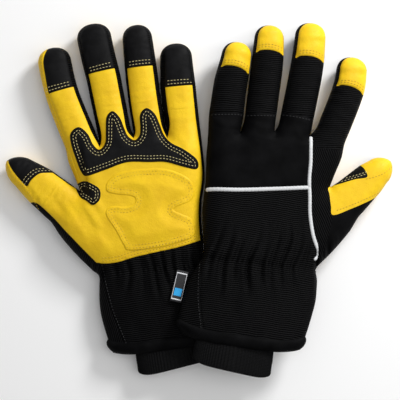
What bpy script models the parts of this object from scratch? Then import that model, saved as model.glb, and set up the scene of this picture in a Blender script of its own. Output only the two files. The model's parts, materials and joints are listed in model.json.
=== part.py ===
"""A pair of insulated leather-palm work gloves with gauntlets and knit wrists.

Both gloves lie flat. Glove 1 lies with its palm up, and glove 2 lies beside it
with its back up, its gauntlet resting on the gauntlet of glove 1.

Each glove is modelled in its own axes, in millimetres: u runs across the hand
from the thumb (-) to the little finger (+), v runs from the wrist (0) to the
fingertips (+), and w runs from the back of the hand (0) to the palm (+).
"""
from math import cos, pi, radians, sin

import bmesh
import bpy
from mathutils import Euler, Matrix, Vector

# ---- driving dimensions, millimetres -------------------------------------
GAP = 0.3                  # clearance between neighbouring pieces
HAND_THICKNESS = 25.0
FINGER_THICKNESS = 20.0
LEATHER = 3.4              # thickness of the palm-side layer with its lining
WALL = 3.0                 # side walls and backs, fabric with insulation
PATCH = 1.3                # leather patches sewn on the palm
EDGE_ROUND = 3.0           # rounding of the outer edges

KNUCKLE_V = 119.0          # the four fingers bend from the hand here
WRIST_V = 4.0              # the gathered wrist, where the gauntlet starts
HEM_V = -63.0              # where the elastic binding starts
BINDING_WIDTH = 10.0
CUFF_END_V = -95.0         # open end of the knit wrist
CROSS_PIPING_WIDTH = 3.0
LONG_PIPING_WIDTH = 2.4
PIPING_DEPTH = 1.9
PIPING_ROUND = 0.6
RUN_OUT = 9.0              # how far a cutter runs past an open end
FAR = 120.0                # beyond the glove's edge

GAUNTLET_THICKNESS = 23.0
GAUNTLET_WALL = 1.8
CUFF_THICKNESS = 15.5
CUFF_WALL = 2.0
LINER_WALL = 1.6
RING_SIDES = 28

# Fingers: centre at the knuckle, centre at the middle joint, half widths.
FINGERS = {
    "index": dict(root_u=-46.6, joint=(-58.5, 171.0), half=(14.4, 14.4, 14.2)),
    "middle": dict(root_u=-14.6, joint=(-18.6, 183.0), half=(14.6, 14.8, 14.4)),
    "ring": dict(root_u=16.4, joint=(17.6, 182.0), half=(13.4, 13.8, 13.4)),
    "little": dict(root_u=46.4, joint=(49.2, 160.0), half=(13.4, 13.8, 13.0)),
}
THUMB_ROOT = (-67.2, 65.5)
THUMB_ALONG = (-0.68, 0.733)
THUMB_JOINT = 35.0         # from the thumb's root to its tip joint
THUMB_ROUND = 12.0         # length of the thumb's rounded end
THUMB_WIDTHS = {"root": (-19.6, 19.6), "joint": (-14.4, 16.8), "tip": (-11.2, 11.2)}

KNUCKLE_TURN = 80.0
TIP_TURN = 90.0
THUMB_TURN = 50.0
LIFT_OFF = 150.0

# The two gloves: where they lie, and what differs between them.
GLOVES = {
    "glove1": dict(
        at=(-44.1, -63.0), turn=8.0, back_up=False, tilt=(0.0, 0.0),
        thumb_end=67.0,
        ends={"index": (-60.5, 210.5), "middle": (-19.5, 227.4),
              "ring": (19.4, 220.9), "little": (51.0, 199.6)},
        little_side=[(60.0, 84.0), (52.2, 56.0), (47.6, 38.0), (46.0, WRIST_V)]),
    "glove2": dict(
        at=(52.65, -58.5), turn=-8.5, back_up=True, tilt=(-3.0, 3.5),
        thumb_end=60.0,
        ends={"index": (-57.5, 198.5), "middle": (-17.0, 223.5),
              "ring": (20.0, 215.5), "little": (49.0, 195.3)},
        little_side=[(58.0, 84.0), (57.0, 48.0), (53.0, 24.0), (50.0, WRIST_V)]),
}

# ---- colours: base colour, roughness --------------------------------------
YELLOW_LEATHER = ((0.83, 0.55, 0.02), 0.45)
BLACK_LEATHER = ((0.012, 0.012, 0.013), 0.5)
RIB_FABRIC = ((0.008, 0.008, 0.009), 0.85)
PLAIN_FABRIC = ((0.010, 0.010, 0.011), 0.8)
KNIT = ((0.006, 0.006, 0.007), 0.9)
PIPING = ((0.66, 0.67, 0.68), 0.55)
LINING = ((0.03, 0.03, 0.035), 0.95)


# ---- outlines ---------------------------------------------------------------
def signed_area(points):
    pairs = zip(points, points[1:] + points[:1])
    return sum(a[0] * b[1] - b[0] * a[1] for a, b in pairs) / 2


def counter_clockwise(points):
    points = list(points)
    return points if signed_area(points) > 0 else points[::-1]


def inset_outline(points, distance):
    """The outline with every edge moved inwards by distance."""
    moved = []
    count = len(points)
    for i, point in enumerate(points):
        before = points[i - 1]
        after = points[(i + 1) % count]
        in_edge = Vector((point[0] - before[0], point[1] - before[1])).normalized()
        out_edge = Vector((after[0] - point[0], after[1] - point[1])).normalized()
        bisector = Vector((-in_edge.y - out_edge.y, in_edge.x + out_edge.x))
        scale = 2 * distance / bisector.length_squared
        moved.append((point[0] + bisector.x * scale, point[1] + bisector.y * scale))
    return moved


def ribbon_outline(path, width):
    """The closed outline of a band of the given width along an open path."""
    left = []
    right = []
    for i, point in enumerate(path):
        here = Vector(point)
        ahead = Vector(path[min(i + 1, len(path) - 1)]) - Vector(path[max(i - 1, 0)])
        side = Vector((-ahead.y, ahead.x)).normalized() * width / 2
        left.append(tuple(here + side))
        right.append(tuple(here - side))
    return counter_clockwise(right + left[::-1])


def rounded_end(left, right, length, steps=8):
    """Points of a half ellipse from the right point round to the left one."""
    left, right = Vector(left), Vector(right)
    centre = (left + right) / 2
    across = (right - left) / 2
    along = Vector((-across.y, across.x)).normalized() * length
    turns = [pi * step / steps for step in range(steps + 1)]
    return [tuple(centre + across * cos(t) + along * sin(t)) for t in turns]


# ---- solids -----------------------------------------------------------------
def bridge(mesh, lower, upper):
    count = len(lower)
    for i in range(count):
        j = (i + 1) % count
        mesh.faces.new((lower[i], lower[j], upper[j], upper[i]))


def layered_solid(outlines):
    """A closed body through (height, outline) layers, from the lowest up."""
    mesh = bmesh.new()
    loops = [[mesh.verts.new((u, v, height)) for u, v in outline]
             for height, outline in outlines]
    mesh.faces.new(loops[0][::-1])
    for lower, upper in zip(loops, loops[1:]):
        bridge(mesh, lower, upper)
    mesh.faces.new(loops[-1])
    return mesh


def slab(outline, bottom, top, round_bottom=0.0, round_top=0.0):
    """An outline raised from bottom to top, with rounded outer edges."""
    outline = counter_clockwise(outline)
    layers = []
    if round_bottom:
        layers.append((bottom, inset_outline(outline, round_bottom)))
        layers.append((bottom + 0.3 * round_bottom,
                       inset_outline(outline, 0.3 * round_bottom)))
        layers.append((bottom + round_bottom, outline))
    else:
        layers.append((bottom, outline))
    if round_top:
        layers.append((top - round_top, outline))
        layers.append((top - 0.3 * round_top, inset_outline(outline, 0.3 * round_top)))
        layers.append((top, inset_outline(outline, round_top)))
    else:
        layers.append((top, outline))
    return layered_solid(layers)


def lens_section(centre_u, half_width, centre_w, half_height, squareness):
    """One cross-section of a flattened sleeve, as (u, w) points."""
    points = []
    for side in range(RING_SIDES):
        angle = 2 * pi * side / RING_SIDES
        across, up = cos(angle), sin(angle)
        u = centre_u + half_width * abs(across) ** (1 / squareness) * (1 if across > 0 else -1)
        w = centre_w + half_height * abs(up) ** (1 / squareness) * (1 if up > 0 else -1)
        points.append((u, w))
    return points


def sleeve(stations, wall):
    """An open-ended tube through stations, from the hand to the hem.

    Each station is (v, centre_u, half_width, centre_w, half_height, squareness).
    """
    mesh = bmesh.new()
    outer = []
    inner = []
    for v, centre_u, half_width, centre_w, half_height, squareness in stations:
        for loops, cut in ((outer, 0.0), (inner, wall)):
            section = lens_section(centre_u, half_width - 1.6 * cut, centre_w,
                                   half_height - cut, squareness)
            loops.append([mesh.verts.new((u, v, w)) for u, w in section])
    for above, below in zip(outer, outer[1:]):
        bridge(mesh, above, below)
    for above, below in zip(inner, inner[1:]):
        bridge(mesh, below, above)
    bridge(mesh, inner[0], outer[0])
    bridge(mesh, outer[-1], inner[-1])
    return mesh


def combine(body, tool, operation):
    """The body with the tool's volume removed or added, as a new bmesh."""
    objects = []
    for name, mesh in (("body", body), ("tool", tool)):
        data = bpy.data.meshes.new(name)
        mesh.to_mesh(data)
        mesh.free()
        objects.append(bpy.data.objects.new(name, data))
        bpy.context.scene.collection.objects.link(objects[-1])
    boolean = objects[0].modifiers.new("combine", "BOOLEAN")
    boolean.operation = operation
    boolean.solver = "EXACT"
    boolean.object = objects[1]
    result = bmesh.new()
    result.from_object(objects[0], bpy.context.evaluated_depsgraph_get())
    for item in objects:
        data = item.data
        bpy.data.objects.remove(item)
        bpy.data.meshes.remove(data)
    return result


def cut_away(body, cutter):
    return combine(body, cutter, "DIFFERENCE")


# ---- materials, empties and nodes ---------------------------------------------
def finish_material(name, finish):
    colour, roughness = finish
    material = bpy.data.materials.new(name)
    material.use_nodes = True
    shader = material.node_tree.nodes["Principled BSDF"]
    shader.inputs["Base Color"].default_value = (*colour, 1.0)
    shader.inputs["Roughness"].default_value = roughness
    shader.inputs["Metallic"].default_value = 0.0
    material.diffuse_color = (*colour, 1.0)
    return material


def empty(name, parent, location=(0, 0, 0), rotation=(0, 0, 0)):
    item = bpy.data.objects.new(name, None)
    bpy.context.scene.collection.objects.link(item)
    item.parent = parent
    item.location = Vector(location) / 1000
    item.rotation_euler = rotation
    return item


class Maker:
    """Places the pieces of one glove under its empties."""

    def __init__(self, glove):
        self.glove = glove
        self.origins = {}

    def node(self, name, mesh, parent, finish):
        """A named object from a bmesh in the glove's axes and millimetres."""
        name = f"{self.glove}_{name}"
        origin = self.origins[parent.name]
        bmesh.ops.translate(mesh, verts=mesh.verts, vec=-origin)
        bmesh.ops.scale(mesh, verts=mesh.verts, vec=(0.001,) * 3)
        bmesh.ops.remove_doubles(mesh, verts=mesh.verts, dist=1e-6)
        bmesh.ops.recalc_face_normals(mesh, faces=mesh.faces)
        data = bpy.data.meshes.new(name)
        mesh.to_mesh(data)
        mesh.free()
        data.shade_smooth()
        data.set_sharp_from_angle(angle=radians(40))
        data.materials.append(finish_material(name, finish))
        item = bpy.data.objects.new(name, data)
        bpy.context.scene.collection.objects.link(item)
        item.parent = parent
        return item

    def hinge(self, name, parent, at):
        """An empty on a joint's axis; at is in the glove's axes."""
        at = Vector(at)
        item = empty(f"{self.glove}_{name}", parent, at - self.origins[parent.name])
        self.origins[item.name] = at
        return item


# ---- digits -------------------------------------------------------------------
def finger_outlines(shape, end):
    """Outlines of a finger's near and far segments."""
    root_u = shape["root_u"]
    joint_u, joint_v = shape["joint"]
    root_half, joint_half, end_half = shape["half"]
    near = [(root_u - root_half, KNUCKLE_V + GAP / 2),
            (root_u + root_half, KNUCKLE_V + GAP / 2),
            (joint_u + joint_half, joint_v - GAP / 2),
            (joint_u - joint_half, joint_v - GAP / 2)]
    round_v = end[1] - end_half * 1.05
    far = [(joint_u - joint_half, joint_v + GAP / 2),
           (joint_u + joint_half, joint_v + GAP / 2)]
    far += rounded_end((end[0] - end_half, round_v), (end[0] + end_half, round_v),
                       end_half * 1.05)
    return near, far


def thumb_point(along, across):
    """A point of the thumb in the glove's (u, v), from its own two axes."""
    return (THUMB_ROOT[0] + along * THUMB_ALONG[0] + across * THUMB_ALONG[1],
            THUMB_ROOT[1] + along * THUMB_ALONG[1] - across * THUMB_ALONG[0])


def thumb_outlines(thumb_end):
    """Outlines of the thumb's near and far segments."""
    root, joint, tip = (THUMB_WIDTHS[key] for key in ("root", "joint", "tip"))
    near = [thumb_point(GAP / 2, root[0]), thumb_point(GAP / 2, root[1]),
            thumb_point(THUMB_JOINT - GAP / 2, joint[1]),
            thumb_point(THUMB_JOINT - GAP / 2, joint[0])]
    round_from = thumb_end - THUMB_ROUND
    far = [thumb_point(THUMB_JOINT + GAP / 2, joint[0]),
           thumb_point(THUMB_JOINT + GAP / 2, joint[1])]
    far += rounded_end(thumb_point(round_from, tip[0]), thumb_point(round_from, tip[1]),
                       THUMB_ROUND)
    return near, far


def middle_of(points):
    return Vector((sum(p[0] for p in points) / len(points),
                   sum(p[1] for p in points) / len(points)))


def lengthened(outline, distance, ends):
    """The outline with the named corners pushed along the segment's length."""
    near_centre = middle_of(outline[:2])
    far_centre = middle_of(outline[2:])
    along = (far_centre - near_centre).normalized() * distance
    moved = []
    for index, point in enumerate(outline):
        shift = along * ends[0] if index < 2 else along * ends[1]
        moved.append((point[0] + shift.x, point[1] + shift.y))
    return moved


def digit_pieces(maker, digit, outlines, near_frame, far_frame):
    """Front and back of a digit's near segment, overlay and cap of its tip."""
    near, far = outlines
    seam_w = FINGER_THICKNESS - LEATHER
    for outline, frame, front, back, front_finish, back_finish, open_ends in (
            (near, near_frame, "front_leather", "back_panel",
             YELLOW_LEATHER, RIB_FABRIC, (-1, 1)),
            (far, far_frame, "tip_overlay", "tip_cap",
             BLACK_LEATHER, YELLOW_LEATHER, (-1, 0))):
        lid = slab(outline, seam_w, FINGER_THICKNESS, round_top=1.2)
        maker.node(f"{digit}_{front}", lid, frame, front_finish)
        shell = slab(outline, 0.0, seam_w - GAP, round_bottom=EDGE_ROUND)
        pocket = lengthened(inset_outline(counter_clockwise(outline), WALL), RUN_OUT, open_ends)
        hollow = slab(pocket, WALL, FINGER_THICKNESS)
        maker.node(f"{digit}_{back}", cut_away(shell, hollow), frame, back_finish)


def thumb_pieces(maker, outlines, near_frame, far_frame):
    """The thumb's front and back, and its hollow leather end."""
    near, far = outlines
    seam_w = FINGER_THICKNESS - LEATHER
    front = slab(near, seam_w, FINGER_THICKNESS, round_top=1.2)
    maker.node("thumb_front_leather", front, near_frame, YELLOW_LEATHER)
    shell = slab(near, 0.0, seam_w - GAP, round_bottom=EDGE_ROUND)
    pocket = lengthened(inset_outline(counter_clockwise(near), WALL), RUN_OUT, (-1, 1))
    back = cut_away(shell, slab(pocket, WALL, FINGER_THICKNESS))
    maker.node("thumb_back_panel", back, near_frame, PLAIN_FABRIC)
    tip = slab(far, 0.0, FINGER_THICKNESS, round_bottom=EDGE_ROUND, round_top=EDGE_ROUND)
    pocket = lengthened(inset_outline(counter_clockwise(far), WALL), RUN_OUT, (-1, 0))
    hollow = slab(pocket, WALL, FINGER_THICKNESS - WALL)
    maker.node("thumb_tip", cut_away(tip, hollow), far_frame, YELLOW_LEATHER)


# ---- hand -----------------------------------------------------------------------
CROSS_PIPING = [(64.0, 58.6), (26.5, 64.7), (-4.4, 70.7), (-33.6, 76.5), (-60.0, 81.6)]
LONG_PIPING = [(-29.0, 117.5), (-31.4, 100.2), (-33.2, 84.0), (-37.3, 55.1),
               (-43.1, 35.0), (-47.2, 22.0), (-45.6, 10.0)]

GRIP_PATCH = [(-44.4, 91.7), (-27.7, 94.5), (-7.3, 99.2), (11.8, 95.3), (26.6, 93.9),
              (40.9, 87.8), (50.5, 84.0), (54.0, 88.5), (50.0, 99.0), (41.0, 106.0),
              (32.0, 112.0), (28.0, 117.8), (8.4, 117.8), (2.4, 114.5), (-3.5, 117.8),
              (-24.5, 117.8), (-30.2, 112.0), (-37.0, 117.8), (-54.5, 117.8),
              (-52.5, 107.9), (-49.6, 95.9)]
HEEL_PAD = [(-28.6, 81.0), (-17.4, 88.0), (0.3, 90.6), (23.1, 88.0), (38.1, 81.0),
            (46.5, 72.0), (45.5, 60.0), (38.0, 54.7), (27.4, 54.0), (26.7, 48.0),
            (37.0, 43.3), (42.5, 38.5), (40.5, 24.5), (34.0, 20.6), (10.3, 18.5),
            (-19.1, 20.4), (-24.6, 38.6), (-31.5, 55.0), (-27.6, 60.6), (-13.0, 59.2),
            (-5.0, 63.2), (-8.3, 68.0), (-19.9, 71.5), (-27.7, 75.4)]
THUMB_CROTCH_PATCH = [(-51.0, 81.5), (-40.5, 82.8), (-34.3, 77.6), (-36.2, 69.2),
                      (-42.6, 65.1), (-49.0, 68.6), (-55.0, 73.6)]


def hand_outline(little_side):
    top = KNUCKLE_V - GAP / 2
    thumb_side = [(-49.0, WRIST_V)]
    thumb_side += [thumb_point(-GAP / 2, across) for across in THUMB_WIDTHS["root"]]
    return thumb_side + [(-56.0, 96.0), (-61.2, top), (60.0, top)] + little_side


def hand_pocket(little_side):
    """The hollow of the hand, open to the fingers, the thumb and the wrist."""
    thumb_wall = [(-46.0, WRIST_V - RUN_OUT), (-46.0, WRIST_V + 1), (-93.0, 56.0),
                  (-60.0, 94.0), (-53.0, 96.0), (-57.0, KNUCKLE_V + RUN_OUT)]
    little_wall = [(u - WALL, v) for u, v in little_side]
    return (thumb_wall + [(57.0, KNUCKLE_V + RUN_OUT)] + little_wall
            + [(little_wall[-1][0], WRIST_V - RUN_OUT)])


def beyond_piping(above):
    """The area on one side of the cross piping, to cut the other panel from it."""
    edge = (CROSS_PIPING_WIDTH / 2 + GAP) * (-1 if above else 1)
    line = [(-FAR, 93.2)] + CROSS_PIPING[::-1] + [(FAR, 49.5)]
    far_v = FAR if above else -FAR
    return [(u, v + edge) for u, v in line] + [(FAR, far_v), (-FAR, far_v)]


def hand_pieces(maker, frame, little_side):
    """The palm with its patches, and the back with its piping."""
    outline = counter_clockwise(hand_outline(little_side))
    seam_w = HAND_THICKNESS - LEATHER
    palm = slab(outline, seam_w, HAND_THICKNESS, round_top=1.5)
    maker.node("palm_leather", palm, frame, YELLOW_LEATHER)
    patch_bottom = HAND_THICKNESS + GAP
    for name, points, finish in (("palm_grip_patch", GRIP_PATCH, BLACK_LEATHER),
                                 ("heel_pad", HEEL_PAD, YELLOW_LEATHER),
                                 ("thumb_crotch_patch", THUMB_CROTCH_PATCH, BLACK_LEATHER)):
        patch = slab(points, patch_bottom, patch_bottom + PATCH, round_top=0.5)
        maker.node(name, patch, frame, finish)

    groove = ribbon_outline(LONG_PIPING, LONG_PIPING_WIDTH + 2 * GAP)
    for name, is_upper, finish in (("hand_back_panel", True, PLAIN_FABRIC),
                                   ("lower_back_panel", False, RIB_FABRIC)):
        shell = slab(outline, 0.0, seam_w - GAP, round_bottom=EDGE_ROUND)
        for area, bottom, top in ((hand_pocket(little_side), WALL, 2 * HAND_THICKNESS),
                                  (beyond_piping(not is_upper), -FAR, FAR),
                                  (groove, -FAR, PIPING_DEPTH + GAP)):
            shell = cut_away(shell, slab(area, bottom, top))
        maker.node(name, shell, frame, finish)

    long_rod = slab(ribbon_outline(LONG_PIPING[1:], LONG_PIPING_WIDTH), 0.0, PIPING_DEPTH,
                    round_bottom=PIPING_ROUND)
    cross_path = [(56.5, 59.9)] + CROSS_PIPING[1:3] + [(-34.2, 76.6)]
    cross_rod = slab(ribbon_outline(cross_path, CROSS_PIPING_WIDTH - 0.4), 0.0,
                     PIPING_DEPTH, round_bottom=PIPING_ROUND)
    maker.node("piping", combine(long_rod, cross_rod, "UNION"), frame, PIPING)


def sleeve_pieces(maker, frame):
    middle_w = GAUNTLET_THICKNESS / 2
    half = GAUNTLET_THICKNESS / 2
    gauntlet = [(WRIST_V - GAP, 0.0, 47.0, middle_w, half - 0.5, 1.7),
                (-14.0, 1.5, 53.0, middle_w, half, 1.15),
                (-38.0, 4.0, 58.5, middle_w, half, 1.0),
                (HEM_V + GAP, 6.5, 55.5, middle_w, half - 0.8, 1.0)]
    maker.node("gauntlet", sleeve(gauntlet, GAUNTLET_WALL), frame, RIB_FABRIC)
    binding = [(HEM_V, 6.5, 55.5, middle_w, half - 0.4, 1.0),
               (HEM_V - BINDING_WIDTH, 6.5, 47.0, middle_w, half - 1.2, 1.0)]
    maker.node("gauntlet_binding", sleeve(binding, GAUNTLET_WALL), frame, PLAIN_FABRIC)
    cuff_half = CUFF_THICKNESS / 2
    cuff = [(-6.0, 2.0, 34.0, middle_w, cuff_half, 1.15),
            (-50.0, 8.0, 32.0, middle_w, cuff_half, 1.15),
            (CUFF_END_V, 11.0, 35.0, middle_w, cuff_half, 1.15)]
    maker.node("knit_cuff", sleeve(cuff, CUFF_WALL), frame, KNIT)
    liner = [(106.0, 0.0, 50.0, 12.6, 8.6, 1.5),
             (60.0, -3.0, 46.0, 12.6, 8.6, 1.5),
             (8.0, 0.0, 38.0, 12.6, 8.2, 1.3)]
    maker.node("thermal_liner", sleeve(liner, LINER_WALL), frame, LINING)


# ---- a whole glove ---------------------------------------------------------------
def build_glove(name, place, holder):
    glove = empty(f"{name}_hand", holder)
    turn = Matrix.Rotation(radians(place["turn"]), 4, "Z")
    lean = Euler([radians(angle) for angle in place["tilt"]] + [0.0]).to_matrix().to_4x4()
    flip = Matrix.Rotation(pi if place["back_up"] else 0.0, 4, "Y")
    at = Matrix.Translation(Vector((*place["at"], 0.0)) / 1000)
    glove.matrix_basis = at @ turn @ lean @ flip

    maker = Maker(name)
    maker.origins[glove.name] = Vector((0, 0, 0))
    for digit, shape in FINGERS.items():
        knuckle = maker.hinge(f"{digit}_knuckle_hinge", glove,
                              (shape["root_u"], KNUCKLE_V, FINGER_THICKNESS))
        tip = maker.hinge(f"{digit}_tip_hinge", knuckle,
                          (*shape["joint"], FINGER_THICKNESS))
        outlines = finger_outlines(shape, place["ends"][digit])
        digit_pieces(maker, digit, outlines, knuckle, tip)
    base = maker.hinge("thumb_base_hinge", glove, (*THUMB_ROOT, FINGER_THICKNESS))
    tip = maker.hinge("thumb_tip_hinge", base,
                      (*thumb_point(THUMB_JOINT, 0.0), FINGER_THICKNESS))
    thumb_pieces(maker, thumb_outlines(place["thumb_end"]), base, tip)
    hand_pieces(maker, glove, place["little_side"])
    sleeve_pieces(maker, glove)


def clear_scene():
    for item in list(bpy.data.objects):
        bpy.data.objects.remove(item, do_unlink=True)


def corners_of(prefix):
    """Every vertex in world space of the pieces whose names start with prefix."""
    bpy.context.view_layer.update()
    return [item.matrix_world @ vertex.co for item in bpy.data.objects
            if item.type == "MESH" and item.name.startswith(prefix)
            for vertex in item.data.vertices]


def stand_on_origin(holder):
    """Lays each glove down on z = 0, and centres the pair on the origin."""
    for name in GLOVES:
        lowest = min(corner.z for corner in corners_of(name))
        bpy.data.objects[f"{name}_hand"].location.z -= lowest
    corners = corners_of("glove")
    middle = [(min(c[axis] for c in corners) + max(c[axis] for c in corners)) / 2
              for axis in (0, 1)]
    holder.location = (-middle[0], -middle[1], 0.0)
    bpy.context.view_layer.update()


def main():
    clear_scene()
    holder = empty("gloves", None)
    for name, place in GLOVES.items():
        build_glove(name, place, holder)
    stand_on_origin(holder)


main()
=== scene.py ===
"""Looks of a pair of insulated leather-palm gloves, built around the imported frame.

Each glove is worked out in its own axes, in millimetres: u runs across the hand
(thumb -, little finger +), v runs from the wrist (0) to the fingertips, and w runs
from the back of the hand (0) to the palm. A glove is an inflated outline: a palm
side and a back side that meet along the outline. Sewn panels are areas of a side.
"""
import json
from math import cos, radians, sin, tau

import bmesh
import bpy
import numpy as np
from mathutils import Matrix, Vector
from mathutils.geometry import delaunay_2d_cdt


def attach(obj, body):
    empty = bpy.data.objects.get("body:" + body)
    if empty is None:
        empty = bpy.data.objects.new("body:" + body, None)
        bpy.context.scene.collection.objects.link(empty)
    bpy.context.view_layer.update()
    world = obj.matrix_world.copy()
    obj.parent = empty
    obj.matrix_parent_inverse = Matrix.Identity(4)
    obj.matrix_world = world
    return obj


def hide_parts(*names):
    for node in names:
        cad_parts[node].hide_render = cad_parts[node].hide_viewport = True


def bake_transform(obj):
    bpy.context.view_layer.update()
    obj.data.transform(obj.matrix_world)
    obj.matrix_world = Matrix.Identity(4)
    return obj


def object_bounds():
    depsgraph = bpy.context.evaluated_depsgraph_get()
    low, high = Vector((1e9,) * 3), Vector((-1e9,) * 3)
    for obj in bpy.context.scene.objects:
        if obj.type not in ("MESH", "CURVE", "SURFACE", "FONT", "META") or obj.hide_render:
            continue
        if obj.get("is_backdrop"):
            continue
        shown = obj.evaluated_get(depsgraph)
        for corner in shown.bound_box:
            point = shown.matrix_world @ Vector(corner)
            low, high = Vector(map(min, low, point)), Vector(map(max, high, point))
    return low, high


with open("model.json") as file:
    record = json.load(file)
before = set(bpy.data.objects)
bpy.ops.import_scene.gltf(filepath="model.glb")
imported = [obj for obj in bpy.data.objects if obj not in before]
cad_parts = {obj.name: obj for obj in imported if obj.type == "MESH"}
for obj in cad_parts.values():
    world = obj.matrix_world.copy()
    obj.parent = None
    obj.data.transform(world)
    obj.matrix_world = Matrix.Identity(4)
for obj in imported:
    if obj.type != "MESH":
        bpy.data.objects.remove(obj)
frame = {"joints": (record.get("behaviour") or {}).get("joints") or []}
CAD_LOW, CAD_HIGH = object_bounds()
JOINTS = {joint["name"]: joint for joint in frame["joints"]}

# ---- sizes, millimetres ------------------------------------------------------
FINGER_HALF = 9.7          # half the thickness of a stuffed finger
PALM_HALF = 12.2
WRIST_HALF = 10.4
GAUNTLET_HALF = 10.9
FLOOR_GAP = 0.8            # the relief of the back reaches this far below the smooth shape
KNUCKLE_V = 119.0          # the knuckle hinges, measured from the wrist
KNUCKLE_U = 46.6           # index hinge to the glove's middle
HINGE_W = 20.0             # height of the hinges above the back's lowest point
KNUCKLE_FLEX = (116.5, 131.0)   # a finger's skin turns between these v
THUMB_FLEX = (1.4, 16.0)   # the same along the thumb
TIP_FLEX = 8.0             # and this far each side of a middle joint
THUMB_ROOT = np.array((-67.2, 65.5))
THUMB_ALONG = np.array((-0.68, 0.733))
THUMB_ACROSS = np.array((0.733, 0.68))
THUMB_JOINT = 35.0
THUMB_TIP_START = 18.0     # the thumb's tip segment starts here along the thumb
BODY_SPLIT_V = 112.0       # finger segments start here, a little before they turn
GAUNTLET_END_V = -63.0     # the gauntlet's end at its middle; its corners are higher
END_RISE = 6.0
HAND_MIDDLE_U = 6.0        # the gauntlet's middle
GRID = 0.75                # spacing of the height field
MESH_STEP = 2.2            # spacing of mesh points inside a panel
EDGE_STEP = 1.15           # spacing along outlines and seams
BACKING = 0.9              # thickness of leather and fabric
STITCH_PITCH = 2.9
STITCH_LENGTH = 1.9
CAP_BULGE = 3.2            # how far the middle of a fingertip cap's edge reaches down
SHOULDER_ROWS = 6          # points along a finger's straight side
LABEL_SIZE = (10.6, 28.0)

FINGERS = ("index", "middle", "ring", "little")
HINGES = {"index": (-58.5, 171.0), "middle": (-18.6, 183.0), "ring": (17.6, 182.0),
          "little": (49.2, 160.0), "thumb": tuple(THUMB_ROOT + THUMB_JOINT * THUMB_ALONG)}


# ---- curves and distances ------------------------------------------------------
def resample(points, step):
    """Evenly spaced points along a polyline."""
    points = np.asarray(points, float)
    lengths = np.hypot(*np.diff(points, axis=0).T)
    along = np.concatenate(([0.0], np.cumsum(lengths)))
    count = max(2, int(round(along[-1] / step)) + 1)
    targets = np.linspace(0.0, along[-1], count)
    return np.stack([np.interp(targets, along, points[:, k]) for k in (0, 1)], 1)


def curve(points, step=EDGE_STEP, closed=False):
    """A smooth curve through points, as evenly spaced points (Catmull-Rom)."""
    p = np.asarray(points, float)
    if closed:
        p = np.vstack((p[-1], p, p[0], p[1]))
    else:
        p = np.vstack((2 * p[0] - p[1], p, 2 * p[-1] - p[-2]))
    t = np.linspace(0, 1, 13)[:-1, None]
    parts = [0.5 * (2 * b + (c - a) * t + (2 * a - 5 * b + 4 * c - d) * t ** 2
                    + (3 * b - a - 3 * c + d) * t ** 3)
             for a, b, c, d in zip(p, p[1:], p[2:], p[3:])]
    smooth = np.vstack(parts + [p[-2:-1]])
    return resample(smooth, step)


def line_distance(points, line, closed=False, reach=16.0):
    """Distance from points to a polyline, up to reach, and whether they lie inside it."""
    ends = np.roll(line, -1, axis=0) if closed else line[1:]
    starts = line if closed else line[:-1]
    order = np.argsort(points[:, 1])
    x, y = points[order, 0], points[order, 1]
    best = np.full(len(points), float(reach) ** 2)
    inside = np.zeros(len(points), bool)
    low, high = np.minimum(starts[:, 1], ends[:, 1]), np.maximum(starts[:, 1], ends[:, 1])
    near = np.stack((np.searchsorted(y, low - reach), np.searchsorted(y, high + reach)), 1)
    span = np.stack((np.searchsorted(y, low), np.searchsorted(y, high)), 1)
    for (ax, ay), (bx, by), (i, j), (k, m) in zip(starts, ends, near, span):
        dx, dy = bx - ax, by - ay
        length = max(dx * dx + dy * dy, 1e-12)
        px, py = x[i:j] - ax, y[i:j] - ay
        t = np.minimum(np.maximum((px * dx + py * dy) / length, 0.0), 1.0)
        best[i:j] = np.minimum(best[i:j], (px - t * dx) ** 2 + (py - t * dy) ** 2)
        if closed and m > k:
            inside[k:m] ^= x[k:m] < dx * (y[k:m] - ay) / dy + ax
    back = np.empty(len(points), int)
    back[order] = np.arange(len(points))
    return np.sqrt(best)[back], inside[back]


def inside_distance(points, outline, reach=16.0):
    """Signed distance to a closed outline, positive inside."""
    distance, inside = line_distance(points, outline, closed=True, reach=reach)
    return np.where(inside, distance, -distance)


def smoothstep(low, high, value):
    t = np.clip((value - low) / (high - low), 0.0, 1.0)
    return t * t * (3 - 2 * t)


def hump(distance, width):
    return np.exp(-(distance / width) ** 2)


def inset(outline, distance):
    """Points moved inwards from a closed outline, without those that cross over."""
    ahead = np.roll(outline, -1, axis=0) - np.roll(outline, 1, axis=0)
    normal = np.stack((-ahead[:, 1], ahead[:, 0]), 1)
    normal /= np.linalg.norm(normal, axis=1)[:, None]
    area = np.sum(outline[:, 0] * np.roll(outline[:, 1], -1)
                  - np.roll(outline[:, 0], -1) * outline[:, 1])
    moved = outline + normal * distance * np.sign(area)
    keep = inside_distance(moved, outline) > 0.93 * distance
    return moved, keep


def runs(points, keep):
    """The unbroken stretches of a closed line of points."""
    if keep.all():
        return [np.vstack((points, points[:1]))]
    first = int(np.argmin(keep))
    points, keep = np.roll(points, -first, axis=0), np.roll(keep, -first)
    found, current = [], []
    for point, good in zip(points, keep):
        if good:
            current.append(point)
        elif current:
            found.append(np.array(current))
            current = []
    if current:
        found.append(np.array(current))
    return [run for run in found if len(run) > 3]


def noise(points, scale, seed):
    """Smooth noise from -1 to 1 at 2D points."""
    rng = np.random.default_rng(seed)
    table = rng.uniform(-1, 1, (64, 64))
    q = points / scale
    cell = np.floor(q).astype(int)
    f = q - cell
    f = f * f * (3 - 2 * f)
    i, j = cell[:, 0] % 64, cell[:, 1] % 64
    i1, j1 = (i + 1) % 64, (j + 1) % 64
    low = table[i, j] * (1 - f[:, 0]) + table[i1, j] * f[:, 0]
    high = table[i, j1] * (1 - f[:, 0]) + table[i1, j1] * f[:, 0]
    return low * (1 - f[:, 1]) + high * f[:, 1]


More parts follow.
